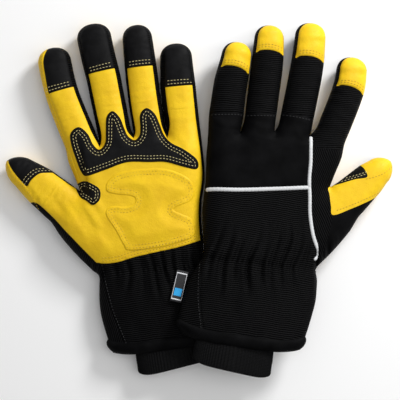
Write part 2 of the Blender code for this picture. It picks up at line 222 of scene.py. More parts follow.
# ---- digits ------------------------------------------------------------------
class Digit:
    """A finger or thumb: a bent centreline with half widths along it."""

    def __init__(self, name, line, hinge, widths, tip):
        self.name = name
        self.line = curve(line, 4.0)
        steps = np.hypot(*np.diff(self.line, axis=0).T)
        self.along = np.concatenate(([0.0], np.cumsum(steps)))
        self.length = self.along[-1]
        self.widths = widths
        self.tip = tip
        self.powers = (1.8, 1.6) if name == "thumb" else (2.3, 2.15)
        self.joint = self.coords(np.array([hinge]))[0][0]

    def at(self, s, t):
        """The points s along the digit from its root, and t across it."""
        s = np.asarray(s, float)
        base = np.stack([np.interp(s, self.along, self.line[:, k]) for k in (0, 1)], -1)
        way = np.stack([np.interp(s + 1, self.along, self.line[:, k])
                        - np.interp(s - 1, self.along, self.line[:, k])
                        for k in (0, 1)], -1)
        way /= np.linalg.norm(way, axis=-1)[..., None]
        base = base + way * np.minimum(s, 0.0)[..., None]
        across = np.stack((way[..., 1], -way[..., 0]), -1)
        return base + across * (np.asarray(t, float) + 0 * s)[..., None]

    def half(self, s):
        """Half the width at s, rounded off at the tip."""
        shoulder = self.length - self.tip
        width = np.interp(s, (0.0, self.joint, shoulder), self.widths)
        x = np.clip((s - shoulder) / self.tip, 0.0, 1.0)
        return width * (1 - x ** self.powers[0]) ** (1 / self.powers[1])

    def gap(self, points):
        """How far points are beside the digit's edge, negative on it."""
        s, t = self.coords(points)
        return np.abs(t) - self.half(np.clip(s, 0, self.length))

    def across(self, s, past_edge=1.0, count=30):
        """A line across the digit at s."""
        reach = self.half(s) + past_edge
        return self.at(np.full(count, s), np.linspace(-reach, reach, count))

    def coords(self, points):
        """(s, t) of points: the nearest place on the centreline."""
        ways = self.line[1:] - self.line[:-1]
        best = np.full(len(points), 1e9)
        s = np.zeros(len(points))
        t = np.zeros(len(points))
        last = len(ways) - 1
        for i, (start, way) in enumerate(zip(self.line, ways)):
            length = np.hypot(*way)
            rel = points - start
            low = -60.0 if i == 0 else 0.0
            high = 60.0 if i == last else length
            part = np.clip(rel @ way / length, low, high)
            offset = rel - part[:, None] * way / length
            distance = np.hypot(*offset.T)
            closer = distance < best
            best = np.where(closer, distance, best)
            s = np.where(closer, self.along[i] + part, s)
            side = (offset @ np.array((way[1], -way[0]))) / length
            t = np.where(closer, side, t)
        return s, t

    def region(self, right_start, left_start, right_margin=0.0, left_margin=0.0):
        """Up the +u side, round the tip and down the -u side, margins inside the edges."""
        shoulder = self.length - self.tip
        end = self.length - 0.6 * max(min(right_margin, left_margin), 0.0)
        near_tip = np.array((0.29, 0.54, 0.74, 0.9, 0.98))
        shift = (left_margin - right_margin) / 2
        sides = []
        for sign, start in ((1, right_start), (-1, left_start)):
            straight = np.linspace(start, shoulder, SHOULDER_ROWS)
            width = self.half(straight) - (right_margin + left_margin) / 2
            cap = width[-1] * (1 - near_tip ** self.powers[0]) ** (1 / self.powers[1])
            s = np.concatenate((straight, shoulder + near_tip * (end - shoulder)))
            sides.append(self.at(s, shift + sign * np.concatenate((width, cap))))
        return np.vstack((sides[0], self.at(np.array([end]), shift), sides[1][::-1]))


# Each digit: its centreline from the root, half widths at root, hinge and shoulder, and tip length.
SHAPES = {
    "glove1": dict(
        digits={
            "index": ([(-45.5, 119), (-53, 148), (-57.5, 168), (-60, 190),
                       (-60.5, 211)], (15.5, 15, 15), 14),
            "middle": ([(-15, 119), (-17, 150), (-19, 183), (-21.5, 205),
                        (-22, 227.5)], (15, 15.5, 15.5), 14),
            "ring": ([(16.5, 119), (15.5, 150), (16, 182), (17, 221)],
                     (15, 14.5, 13.5), 14),
            "little": ([(46, 119), (47, 160), (50, 199.5)],
                       (15.5, 16, 14.5), 14),
            "thumb": ([(0, 0), (45, 0), (69.5, -2)], (19.5, 17, 14), 20)},
        crotches=((31, 118), (1, 122.5), (-30, 118.5)),
        little_side=((48.5, 4), (50, 20), (51, 38), (54, 56), (59.5, 76),
                     (61, 98)),
        gauntlet_left=((-47.5, 1), (-48.5, -9), (-50, -20), (-50.5, -31.5),
                       (-49.5, -43), (-47.5, -56), (-46.5, -63), (-43, -70),
                       (-38, -78), (-36, -92)),
        cuff_end=((-24, -94.5), (47, -87))),
    "glove2": dict(
        digits={
            "index": ([(-46.5, 119), (-58.5, 171), (-57, 198.5)],
                      (14.5, 14.5, 14), 14),
            "middle": ([(-14.5, 119), (-18, 183), (-16.5, 223.5)],
                       (15, 15, 14), 14),
            "ring": ([(17, 119), (18, 182), (20.5, 215.5)], (14, 14.5, 13.5), 14),
            "little": ([(47.5, 119), (48, 155), (46.5, 180), (47, 196)],
                       (15.5, 15, 13.5), 14),
            "thumb": ([(0, 0), (22, 1.5), (36, 2.5), (59, 3)],
                      (18.5, 15, 13), 16)},
        crotches=((33, 115), (2.5, 121.5), (-29, 122.5)),
        little_side=((50, 3), (53, 22), (56.5, 43), (57.5, 70), (60, 90),
                     (61, 106)),
        gauntlet_left=((-52, 2), (-54, -4), (-55, -13), (-55.5, -24),
                       (-54, -37), (-52, -50), (-49.5, -62), (-46.5, -70),
                       (-40, -78), (-36, -92)),
        cuff_end=((-24, -98.5), (46, -92.5))),
}
GAUNTLET_RIGHT = ((44, -92), (46, -75), (56, -69), (63, -61.5), (64, -54), (62.5, -42),
    (60.5, -28), (57.5, -16), (53, -5))
THUMB_CROTCH = (-53.5, 79)

GRIP_PATCH = [(-44.5, 91.5), (-27.5, 94.5), (-7.5, 98.5), (12, 96), (26.5, 94), (41, 88),
    (52, 84), (55.5, 87), (54, 93.5), (44.5, 103), (34, 110.5), (28.5, 119), (26, 129),
    (23, 138.5), (16.5, 144.5), (10, 139.5), (8.5, 128), (7, 121.5), (2, 117.5), (-3.5, 122),
    (-6, 130), (-8.5, 139.5), (-14, 146), (-20, 141.5), (-22.5, 129.5), (-24.5, 119),
    (-30.5, 113.5), (-35.5, 119), (-39, 129), (-46, 136), (-54, 131.5), (-55, 122), (-52.5, 108),
    (-49.5, 96)]
HEEL_PAD = [(-27.5, 83), (-17.5, 89.5), (0.5, 91), (23, 88.5), (38, 82), (47.5, 73), (48.5, 63),
    (43.5, 56.5), (34, 54), (27.5, 51), (33.5, 46.5), (42, 41), (44.5, 33), (43.5, 26.5),
    (35.5, 22.5), (10.5, 19.5), (-16, 20.5), (-20.5, 26), (-25.5, 39.5), (-32, 53.5), (-31, 59.5),
    (-25, 61.5), (-14, 59.5), (-6, 61), (-4.5, 66), (-9.5, 69), (-20, 71.5), (-28.5, 75.5)]
CROTCH_PATCH = [(-56.5, 84), (-48.5, 87.5), (-40, 83.5), (-34.5, 77.5), (-36, 69), (-42.5, 65),
    (-48, 69.5), (-54, 74.5)]
LEATHER_HEM = [(-60, 15.5), (-46.5, 13.5), (-41, 12), (-28.5, 11.5), (-12.5, 14), (10.5, 16),
    (29, 17.5), (60, 22.5)]
LEATHER_SIDE = [(-104, 72), (-98.5, 75), (-92, 73), (-80.5, 59.5), (-68.5, 43), (-57, 27),
    (-46.5, 12.5)]
# Black side strips that show beside the palm leather of each finger: +u side, -u side.
SIDE_STRIPS = {"little": (3, 4.5), "ring": (3.5, 2.5), "middle": (3.5, 3.5),
               "index": (3, -1.5)}
CROSS_PIPING = [(70, 54), (57.5, 59.5), (50, 61.5), (26.5, 64.5), (-4.5, 70), (-33.5, 75.5)]
LONG_PIPING = [(-29.5, 121), (-30.5, 110), (-32, 98), (-33, 82.5), (-35.5, 68), (-38, 52),
    (-43, 35), (-48.5, 23.5), (-50.5, 17), (-47.5, 12.5)]


def thumb_point(along, across):
    """A point in the thumb's own axes, along it and towards the fingers."""
    return THUMB_ROOT + THUMB_ALONG * along + THUMB_ACROSS * across


def make_digits(shape):
    digits = {}
    for name, (line, widths, tip) in shape["digits"].items():
        hinge = HINGES[name]
        if name == "thumb":
            line = [thumb_point(along, across) for along, across in line]
        digits[name] = Digit(name, line, hinge, widths, tip)
    return digits


# ---- one glove's form ------------------------------------------------------------
class Form:
    """The outline, thickness and relief of one glove."""

    def __init__(self, name):
        self.shape = shape = SHAPES[name]
        self.seed = 11 if name == "glove1" else 23
        self.digits = make_digits(shape)
        self.outline = self.make_outline(shape)
        self.front = self.make_front(shape)
        self.grip, self.heel, self.crotch = (
            curve(points, closed=True)[:-1] for points in (GRIP_PATCH, HEEL_PAD, CROTCH_PATCH))
        self.leather_hem, self.cross_piping, self.long_piping, self.palm_seam, self.back_seam = (
            curve(points) for points in (LEATHER_HEM, CROSS_PIPING, LONG_PIPING, PALM_SEAM,
                                         BACK_SEAM))
        self.palm_grooves = [curve(points) for points in (
            INDEX_STRIP, THUMB_STRIP, THUMB_OVERLAY[5:])] + [self.palm_seam]
        self.make_field()

    def make_outline(self, shape):
        d = self.digits
        little_ring, ring_middle, middle_index = shape["crotches"]
        parts = [
            list(GAUNTLET_RIGHT) + list(shape["little_side"])
            + list(d["little"].region(8.0, 8.0)) + [little_ring],
            [little_ring] + list(d["ring"].region(8.0, 9.0)) + [ring_middle],
            [ring_middle] + list(d["middle"].region(9.0, 8.0)) + [middle_index],
            [middle_index] + list(d["index"].region(8.0, 4.0))
            + [(-60.6, 107.0), (-57.0, 93.0), THUMB_CROTCH],
            [THUMB_CROTCH] + list(d["thumb"].region(10.0, 2.0))
            + [(-77.0, 42.0), (-65.6, 24.0), (-52.6, 7.0)] + list(shape["gauntlet_left"])]
        return np.vstack([curve(part)[:-1] for part in parts])

    def make_front(self, shape):
        """The outline of the palm leather with its fingers and thumb."""
        d = self.digits

        def finger(name, left_start=8.0):
            return list(d[name].region(8.0, left_start, *SIDE_STRIPS[name]))

        little_ring, ring_middle, middle_index = (
            (u, v - 3.2) for u, v in shape["crotches"])
        thumb_start, wrist = (-55.6, 81.6), (-40.0, 2.0)
        side = [(u - 2.3, v) for u, v in shape["little_side"][1:]]
        parts = [
            [(side[0][0], -2.0)] + side + finger("little") + [little_ring],
            [little_ring] + finger("ring") + [ring_middle],
            [ring_middle] + finger("middle") + [middle_index],
            [middle_index] + finger("index", 4.0) + [(-62.4, 107.0), (-58.6, 93.0), thumb_start],
            [thumb_start] + list(d["thumb"].region(10.0, 32.0, 0.9, -1.6))
            + LEATHER_SIDE + [wrist],
            [wrist, (side[0][0], -2.0)]]
        return np.vstack([curve(part)[:-1] for part in parts])

    def make_field(self):
        """Squared half thickness on a grid, straight across the outline."""
        low = self.outline.min(0) - 6.0
        size = np.ceil((self.outline.max(0) + 6.0 - low) / GRID).astype(int)
        grid_u, grid_v = np.meshgrid(low[0] + GRID * np.arange(size[0]),
                                     low[1] + GRID * np.arange(size[1]), indexing="ij")
        points = np.stack((grid_u.ravel(), grid_v.ravel()), 1)
        near = inside_distance(points, self.outline, 7.0)
        far = inside_distance(points, self.outline[::5], 56.0)
        distance = np.where(np.abs(near) < 6.9, near, far)
        reach = np.interp(points[:, 1], (-30, 0, 40, 90, 119), (54.0, 34.0, 24.0, 18.0, 13.0))
        thumb_s, _ = self.digits["thumb"].coords(points)
        on_thumb = (points[:, 0] < -50) & (points[:, 1] > 30)
        reach = np.where(on_thumb, np.minimum(reach, np.interp(thumb_s, (-20, 5), (24, 13))),
                         reach)
        half = self.half_thickness(points)
        t = distance / reach
        inner = 1 - (1 - np.clip(t, 0.0, 1.0)) ** 2
        field = half ** 2 * np.where(t > 0, inner, 2 * t)
        field = field.reshape(size)
        for _ in range(5):
            field[1:-1] = (field[:-2] + 2 * field[1:-1] + field[2:]) / 4
            field[:, 1:-1] = (field[:, :-2] + 2 * field[:, 1:-1] + field[:, 2:]) / 4
        self.field, self.low = field, low

    def half_thickness(self, points):
        """Half the thickness that the stuffing would reach away from the edges."""
        u, v = points.T
        thumb_s, _ = self.digits["thumb"].coords(points)
        palm = smoothstep(128.0, 98.0, v) * np.where(u < -45, smoothstep(6.0, -16.0, thumb_s), 1)
        half = FINGER_HALF + (PALM_HALF - FINGER_HALF) * palm
        lower = smoothstep(30.0, 2.0, v)
        wrist = WRIST_HALF + (GAUNTLET_HALF - WRIST_HALF) * smoothstep(0.0, -26.0, v)
        return half * (1 - lower) + wrist * lower

    def half_height(self, points):
        """Half thickness at points, down to 0 at the outline."""
        q = (points - self.low) / GRID
        cell = np.clip(np.floor(q).astype(int), 0, np.array(self.field.shape) - 2)
        f = q - cell
        i, j = cell.T
        g = self.field
        low = g[i, j] * (1 - f[:, 0]) + g[i + 1, j] * f[:, 0]
        high = g[i, j + 1] * (1 - f[:, 0]) + g[i + 1, j + 1] * f[:, 0]
        return np.sqrt(np.maximum(low * (1 - f[:, 1]) + high * f[:, 1], 0.0))

    # ---- relief -----------------------------------------------------------------
    def gathers(self, points, phase):
        """Puffs between narrow creases, drawn in by the elastic at the wrist."""
        u, v = points.T
        above = v - (3.0 - 0.055 * u)
        bend = 5.0 * noise(points, 30.0, self.seed + phase) + 0.16 * above * np.tanh(u / 30)
        folds = np.zeros(len(points))
        for pitch, depth, slip in ((10.4, 1.0, 0.0), (6.3, 0.55, 2.1)):
            wave = 0.5 + 0.5 * np.cos(tau * (u + bend * (1 + 0.2 * slip)) / pitch + slip)
            folds += depth * (0.36 - wave ** 3.5)
        reach = 1 + 0.45 * noise(points * (1, 0.2), 9.0, self.seed + phase + 5)
        spread = smoothstep(36.0, 3.0, above / reach) * smoothstep(-30.0, -3.0, above / reach)
        strength = 0.75 + 0.35 * noise(points, 22.0, self.seed + phase + 9)
        loose = 0.9 * noise(points * (1, 0.5), 9.0, self.seed + phase + 12)
        loose *= smoothstep(10.0, -10.0, v) * smoothstep(-62.0, -50.0, v)
        return 3.9 * spread * strength * folds - 0.9 * hump(above, 4.5) + loose

    def on_digit(self, digit, points):
        """(s, t) of points along a digit, and which of them are on it."""
        s, t = digit.coords(points)
        return s, t, (np.abs(t) < digit.half(np.clip(s, 0, digit.length)) + 2) & (s > -4)

    def palm_digit_relief(self, points, name, digit):
        """Creases and wrinkles of a digit's leather, and the edge of its overlay."""
        s, t, mine = self.on_digit(digit, points)
        relief = 0.0
        if name != "thumb":
            seam = s - digit.joint
            relief = mine * (0.75 * smoothstep(-0.1, 0.9, seam) - 0.35 * hump(seam, 0.9))
            crease = hump(s - digit.joint * 0.42, 2.6) + hump(s - digit.joint * 0.66, 2.2)
            relief -= mine * 0.38 * crease * hump(t, 9.0)
        wrinkle = np.sin(tau * (s + 2.2 * noise(points, 9.0, 7)) / 5.3)
        soft = 0.16 if name != "thumb" else 0.4
        return relief + mine * soft * wrinkle * hump(t, 10.0) * smoothstep(0, 10, s)

    def patch_relief(self, points):
        """The sewn patches: raised, with a channel along each row of stitches."""
        relief = 0.0
        for outline, height in ((self.grip, 1.15), (self.crotch, 1.1)):
            distance = inside_distance(points, outline)
            relief += height * smoothstep(-0.15, 1.0, distance)
            relief -= 0.28 * hump(distance - 3.1, 0.8) + 0.28 * hump(distance - 5.6, 0.8)
        distance = inside_distance(points, self.heel)
        relief += smoothstep(-0.1, 1.1, distance) * 0.8 + smoothstep(6.0, 15.0, distance) * 1.5
        return relief - 0.45 * hump(distance - 2.4, 0.8) - 0.45 * hump(distance - 5.0, 0.8)

    def palm_relief(self, points):
        """How far the palm side stands above the smooth shape."""
        u, v = points.T
        relief = self.patch_relief(points)
        for name, digit in self.digits.items():
            relief += self.palm_digit_relief(points, name, digit)
        above_hem, inside_leather = self.leather_distance(points)
        relief += 0.55 * smoothstep(-0.2, 0.9, inside_leather)
        for line in self.palm_grooves:
            relief -= 0.75 * hump(line_distance(points, line)[0], 0.75)
        hem, _ = line_distance(points, self.leather_hem)
        relief -= 0.2 * (hump(hem - 2.6, 0.6) + hump(hem - 5.2, 0.6))
        folds = noise(points @ np.array(((0.9, -0.44), (0.44, 0.9))) / (1, 3.0), 5.2, 31)
        at_thumb = hump(np.hypot(u + 52, v - 52), 26.0) + 0.8 * hump(np.hypot(u - 47, v - 108), 11)
        relief += 1.15 * folds * at_thumb
        relief += 0.25 * noise(points, 13.0, self.seed + 3) * smoothstep(10, 30, v)
        return relief + self.gathers(points, 0) * smoothstep(2.0, -5.0, above_hem)

    def back_relief(self, points):
        """How far the back stands below the smooth shape."""
        u, v = points.T
        relief = np.zeros(len(points))
        for name in FINGERS:
            digit = self.digits[name]
            s, t, mine = self.on_digit(digit, points)
            cap = s - CAP_START[name] - CAP_BULGE * (1 - (t / 14.0) ** 2)
            cap = np.minimum(cap, digit.half(np.clip(s, 0, digit.length)) - 2.6 - t)
            relief += mine * (0.7 * smoothstep(-0.1, 0.9, cap) - 0.3 * hump(cap, 0.9))
            relief += mine * 0.28 * np.sin(tau * (s + 3 * noise(points, 12, 9)) / 11.0)
        relief -= 0.7 * hump(v - Panels.knuckle_v(u), 1.1) * (u > -30)
        for line in (self.cross_piping, self.long_piping):
            relief -= 0.5 * hump(line_distance(points, line)[0], 1.6)
        relief += 0.35 * noise(points, 16.0, self.seed + 8) * smoothstep(10, 30, v)
        relief -= 0.6 * hump(line_distance(points, self.back_seam)[0], 0.8)
        return relief + self.gathers(points, 40)

    def leather_distance(self, points):
        """Height above the palm leather's lower edge, and distance inside its outline."""
        hem_v = np.interp(points[:, 0], self.leather_hem[:, 0], self.leather_hem[:, 1])
        above = points[:, 1] - hem_v
        return above, np.minimum(inside_distance(points, self.front), above)

    def hem_v(self, u):
        """Where the gauntlet ends and its binding starts."""
        return GAUNTLET_END_V + END_RISE * np.clip(np.abs(u - 6.5) / 56.0, 0, 1) ** 4

    def lift(self, points, palm, rim=False):
        """w of the surface at points, on the palm side or the back."""
        half = np.zeros(len(points)) if rim else self.half_height(points)
        centre = self.half_thickness(points) + FLOOR_GAP
        near = np.clip(half / 5.0, 0.0, 1.0)
        if palm:
            return centre + half + near * self.palm_relief(points)
        return centre - half - near * self.back_relief(points)

    def on_surface(self, line, palm, raised=0.0):
        """3D points over a flat line, and the outward normals there."""
        line = np.asarray(line, float)
        step = 0.5
        shifts = np.array(((0, 0), (step, 0), (-step, 0), (0, step), (0, -step)))
        every = (line[None] + shifts[:, None]).reshape(-1, 2)
        w, right, left, up, down = self.lift(every, palm).reshape(5, -1)
        slope = np.column_stack(((right - left) / (2 * step), (up - down) / (2 * step)))
        normal = np.column_stack((-slope, np.ones(len(line))))
        normal /= np.linalg.norm(normal, axis=1)[:, None]
        normal = normal if palm else -normal
        return np.column_stack((line, w)) + normal * raised, normal


# ---- panels: which part of the glove each place belongs to ------------------------
THUMB_OVERLAY = [(-66, 98), (-72.5, 98.5), (-80, 99.5), (-87, 99.5), (-94.5, 95), (-99.5, 90),
    (-104, 95.5), (-109, 103.5), (-112.5, 111), (-114.5, 118)]
THUMB_STRIP = [(-99.5, 90), (-96, 84.5), (-92.5, 76.5), (-90.5, 70.5)]
INDEX_STRIP = [(-51, 84), (-54.5, 103), (-59.5, 126.5), (-64, 148), (-68.5, 168.5), (-69.5, 186),
    (-69, 200.5), (-63, 213)]
THUMB_YELLOW = [(-52, 78.5), (-62, 83.5), (-74, 89), (-84, 92.5), (-81.5, 99), (-77, 108),
    (-95, 126), (-124, 122), (-124, 84), (-102, 80), (-98, 77.5), (-88, 71), (-74, 62.5),
    (-58.5, 54.5), (-55.5, 62), (-53, 72.5)]
THUMB_SEAM = [(-84, 92.5), (-92, 95.5), (-99, 99.5), (-106, 106), (-112, 112)]
THUMB_SIDE = [(-58.5, 54.5), (-57.5, 38), (-55.5, 22), (-51, 8), (-47.5, -2)]
PALM_SEAM = [(-44.5, 11.5), (-43, -8), (-40, -32), (-35.5, -50), (-31, -68)]
BACK_SEAM = [(50.5, 1), (50, -16.5), (48, -34.5), (44.5, -50), (39.5, -68)]
CAP_START = {"index": 50.0, "middle": 70.0, "ring": 69.8, "little": 50.6}


class Panels:
    """The seams of a glove, and the panel and body segment at any place on it."""

    def __init__(self, form):
        self.form = form
        split = [thumb_point(*p) for p in ((-12, -34), (-9, -22), (-8, -8), (-4, 8),
                                           (-0.6, 16), (1.2, 21.5))]
        self.thumb_split = curve(split)
        self.thumb_overlay = curve(THUMB_OVERLAY)
        self.thumb_overlay_area = np.vstack((self.thumb_overlay,
                                             [(-100.0, 135.0), (-60.0, 115.0)]))
        self.index_strip = curve(INDEX_STRIP)
        self.caps = {name: self.cap_region(form.digits[name]) for name in FINGERS}
        self.thumb_yellow = curve(THUMB_YELLOW, closed=True)[:-1]
        knuckle_u = np.arange(-33.0, 70.0, 1.2)
        self.knuckle = np.stack((knuckle_u, self.knuckle_v(knuckle_u)), 1)
        elastic_u = np.arange(-62.0, 62.0, 1.2)
        self.elastic = np.stack((elastic_u, self.elastic_v(elastic_u)), 1)
        self.thumb_side = curve(THUMB_SIDE)
        shared = self.shared_lines()
        self.palm_lines = self.palm_side_lines() + shared
        self.back_lines = self.back_side_lines() + shared

    def shared_lines(self):
        """Lines that both sides' meshes follow: where segments meet, and the end."""
        form = self.form
        d = form.digits
        lines = [self.thumb_split, resample([(-72.0, BODY_SPLIT_V), (68.0, BODY_SPLIT_V)], 1.2),
                 d["thumb"].at(np.full(36, THUMB_TIP_START), np.linspace(-21, 21, 36))]
        for u, v in form.shape["crotches"]:
            lines.append(resample([(u, BODY_SPLIT_V), (u, v + 0.5)], 1.0))
        lines += [d[name].across(self.finger_middle(name)) for name in FINGERS]
        end_u = np.linspace(-70, 80, 130)
        lines.append(np.stack((end_u, form.hem_v(end_u)), 1))
        return [(line, False) for line in lines]

    def palm_side_lines(self):
        form = self.form
        lines = [(line, True) for line in (form.front, form.grip, form.heel, form.crotch)]
        lines += [(line, False) for line in (form.leather_hem, self.thumb_overlay,
                                             self.index_strip, form.palm_seam)]
        digits = [form.digits[name] for name in FINGERS]
        return lines + [(digit.across(digit.joint), False) for digit in digits]

    def back_side_lines(self):
        form = self.form
        lines = [(cap, True) for cap in self.caps.values()] + [(self.thumb_yellow, True)]
        return lines + [(line, False) for line in (
            self.knuckle, self.elastic, form.cross_piping, form.long_piping,
            self.thumb_side, form.back_seam)]

    def finger_middle(self, name):
        return 0.5 * self.form.digits[name].joint

    def cap_region(self, digit):
        """The leather cap on the back of a fingertip."""
        start = CAP_START[digit.name]
        left, right = 0.7, 2.6
        sides = digit.region(start, start, right, left)
        width = digit.half(start)
        t = np.linspace(-(width - left), width - right, 9)[1:-1]
        base = digit.at(start + CAP_BULGE * (1 - (t / width) ** 2), t)
        return curve(np.vstack((sides, base)), closed=True)[:-1]

    @staticmethod
    def knuckle_v(u):
        return np.interp(u, (-30, -2, 8, 30, 38, 62), (137.5, 138.5, 136.0, 133.0, 132.6, 128.8))

    @staticmethod
    def elastic_v(u):
        return 3.0 - 0.02 * u

    @staticmethod
    def thumb_along(points):
        rel = points - THUMB_ROOT
        return rel @ THUMB_ALONG, rel @ THUMB_ACROSS

    def segment(self, points):
        """The name of the body segment at each point."""
        u, v = points.T
        names = np.full(len(points), "hand", dtype="U12")
        gaps = {name: self.form.digits[name].gap(points) for name in FINGERS}
        crotch_u = [-200.0] + [u0 for u0, _ in self.form.shape["crotches"]][::-1] + [200.0]
        for name, low, high in zip(FINGERS, crotch_u, crotch_u[1:]):
            digit = self.form.digits[name]
            s, t = digit.coords(points)
            near = (v > BODY_SPLIT_V) & (np.abs(t) < 22)
            below = v < 124.0
            mine = near & np.where(below, (u > low) & (u <= high), np.abs(t) < 18)
            for other in FINGERS:
                mine &= below | (gaps[name] <= gaps[other])
            names[mine & (s <= self.finger_middle(name))] = name
            names[mine & (s > self.finger_middle(name))] = name + "_tip"
        along, across = self.thumb_along(points)
        split_along, split_across = self.thumb_along(self.thumb_split)
        limit = np.interp(across, split_across, split_along)
        thumb = (along > limit) & (across < 19.9) & (u < -50)
        s, _ = self.form.digits["thumb"].coords(points)
        names[thumb & (s <= THUMB_TIP_START)] = "thumb"
        names[thumb & (s > THUMB_TIP_START)] = "thumb_tip"
        return names

    def palm(self, points, segments):
        """The name of the palm-side panel at each point."""
        form = self.form
        panel = np.full(len(points), "back", dtype="U12")
        front = inside_distance(points, form.front) > 0
        front &= form.leather_distance(points)[0] > 0
        panel[front] = "front"
        for name in FINGERS:
            s, _ = form.digits[name].coords(points)
            tip = (segments == name + "_tip") & (s > form.digits[name].joint)
            if name == "index":
                strip = self.index_strip
                tip &= points[:, 0] > np.interp(points[:, 1], strip[:, 1], strip[:, 0])
            panel[front & tip] = "overlay"
        thumb = np.isin(segments, ("thumb", "thumb_tip"))
        overlay = thumb & (inside_distance(points, self.thumb_overlay_area) > 0)
        panel[overlay] = "overlay"
        panel[inside_distance(points, form.grip) > 0] = "grip"
        panel[inside_distance(points, form.heel) > 0] = "heel"
        panel[inside_distance(points, form.crotch) > 0] = "crotch"
        below = form.leather_distance(points)[0] < 0
        panel[below & (points[:, 1] < 40)] = "gauntlet"
        side = (panel == "back") & (segments == "hand")
        panel[side] = "side"
        right = side & (points[:, 0] > 40)
        panel[right] = "lower"
        panel[right & (points[:, 1] > self.cross_v(points[:, 0]))] = "hand_back"
        panel[(panel == "back") & thumb] = "thumb_back"
        return panel

    def cross_v(self, u):
        line = self.form.cross_piping[::-1]
        return np.interp(u, line[:, 0], line[:, 1])

    def back(self, points, segments):
        """The name of the back panel at each point."""
        form = self.form
        u, v = points.T
        long_line = form.long_piping[::-1]
        order = np.argsort(long_line[:, 1])
        piping_u = np.interp(v, long_line[order, 1], long_line[order, 0])
        panel = np.full(len(points), "lower", dtype="U12")
        panel[v > self.cross_v(u)] = "hand_back"
        side = (u < piping_u) & ((v > 12.5) | (u < -50))
        panel[side & ~np.isin(segments, ("middle", "ring", "little"))] = "side"
        fingers = np.isin(segments, [n for f in FINGERS for n in (f, f + "_tip")])
        panel[fingers & (v > self.knuckle_v(u))] = "back"
        index = np.isin(segments, ("index", "index_tip"))
        panel[index] = np.where(side[index] | (v[index] > 124.5), "back", "hand_back")
        for name, cap in self.caps.items():
            panel[(inside_distance(points, cap) > 0) & (segments == name + "_tip")] = "cap"
        thumb = np.isin(segments, ("thumb", "thumb_tip"))
        yellow = inside_distance(points, self.thumb_yellow) > 0
        side_v = self.thumb_side
        side_u = np.interp(v, side_v[::-1, 1], side_v[::-1, 0])
        outer = (v < 56) & (u < side_u) & (v > 3)
        panel[outer | thumb] = "thumb_back"
        panel[thumb & ~yellow & (self.thumb_along(points)[1] > 2.0)] = "crotch"
        panel[yellow] = "thumb_yellow"
        panel[v < self.elastic_v(u)] = "gauntlet"
        return panel


# ---- meshing a side ----------------------------------------------------------------
class Sieve:
    """Keeps points that are not too close to those already kept."""

    def __init__(self, cell=1.0):
        self.cell = cell
        self.cells = {}
        self.points = []

    def add(self, points, spacing):
        for x, y in points:
            i, j = int(x // self.cell), int(y // self.cell)
            reach = int(spacing // self.cell) + 1
            near = (q for a in range(i - reach, i + reach + 1)
                    for b in range(j - reach, j + reach + 1)
                    for q in self.cells.get((a, b), ()))
            if spacing and any((x - a) ** 2 + (y - b) ** 2 < spacing ** 2 for a, b in near):
                continue
            self.cells.setdefault((i, j), []).append((x, y))
            self.points.append((x, y))


def offset_line(line, distance, closed):
    """Points beside a polyline, on both sides."""
    ahead = (np.roll(line, -1, axis=0) - np.roll(line, 1, axis=0)) if closed else np.gradient(
        line, axis=0)
    normal = np.stack((-ahead[:, 1], ahead[:, 0]), 1)
    normal /= np.maximum(np.linalg.norm(normal, axis=1), 1e-9)[:, None]
    return np.vstack((line + normal * distance, line - normal * distance))


def triangulate(outline, lines):
    """Triangles inside an outline that follow the given lines.

    Returns points, faces, and for each point its index on the outline or -1.
    """
    sieve = Sieve()
    sieve.add(outline, 0.0)
    count = len(outline)
    points = [tuple(p) for p in outline]
    edges = [(i, (i + 1) % count) for i in range(count)]
    for line, closed in lines:
        first = len(points)
        points += [tuple(p) for p in line]
        edges += [(first + i, first + i + 1) for i in range(len(line) - 1)]
        if closed:
            edges.append((first + len(line) - 1, first))
        sieve.add(line, 0.0)
    extra = len(sieve.points)
    for depth in (0.14, 0.5, 1.1, 2.0, 3.2, 4.8, 6.8):
        row, keep = inset(outline, depth)
        sieve.add(row[keep], 0.42 if depth < 1 else 0.8)
    for line, closed in lines:
        for distance in (0.5, 1.1):
            beside = offset_line(line, distance, closed)
            sieve.add(beside[inside_distance(beside, outline) > 0.3], 0.42)
    low, high = outline.min(0), outline.max(0)
    for k, row_v in enumerate(np.arange(low[1], high[1], MESH_STEP * 0.866)):
        row_u = np.arange(low[0] + (k % 2) * MESH_STEP / 2, high[0], MESH_STEP)
        row = np.column_stack((row_u, np.full(len(row_u), row_v)))
        sieve.add(row[inside_distance(row, outline) > 1.2], 1.25)
    points += sieve.points[extra:]
    out, _, faces, origin, _, _ = delaunay_2d_cdt([Vector(p) for p in points], edges, [], 0,
                                                  1e-4)
    out = np.array([tuple(p) for p in out])
    faces = np.array([f for f in faces if len(f) == 3])
    centres = out[faces].mean(1)
    faces = faces[inside_distance(centres, outline) > 0]
    on_outline = np.array([min([i for i in o if i < count], default=-1) for o in origin])
    return out, faces, on_outline


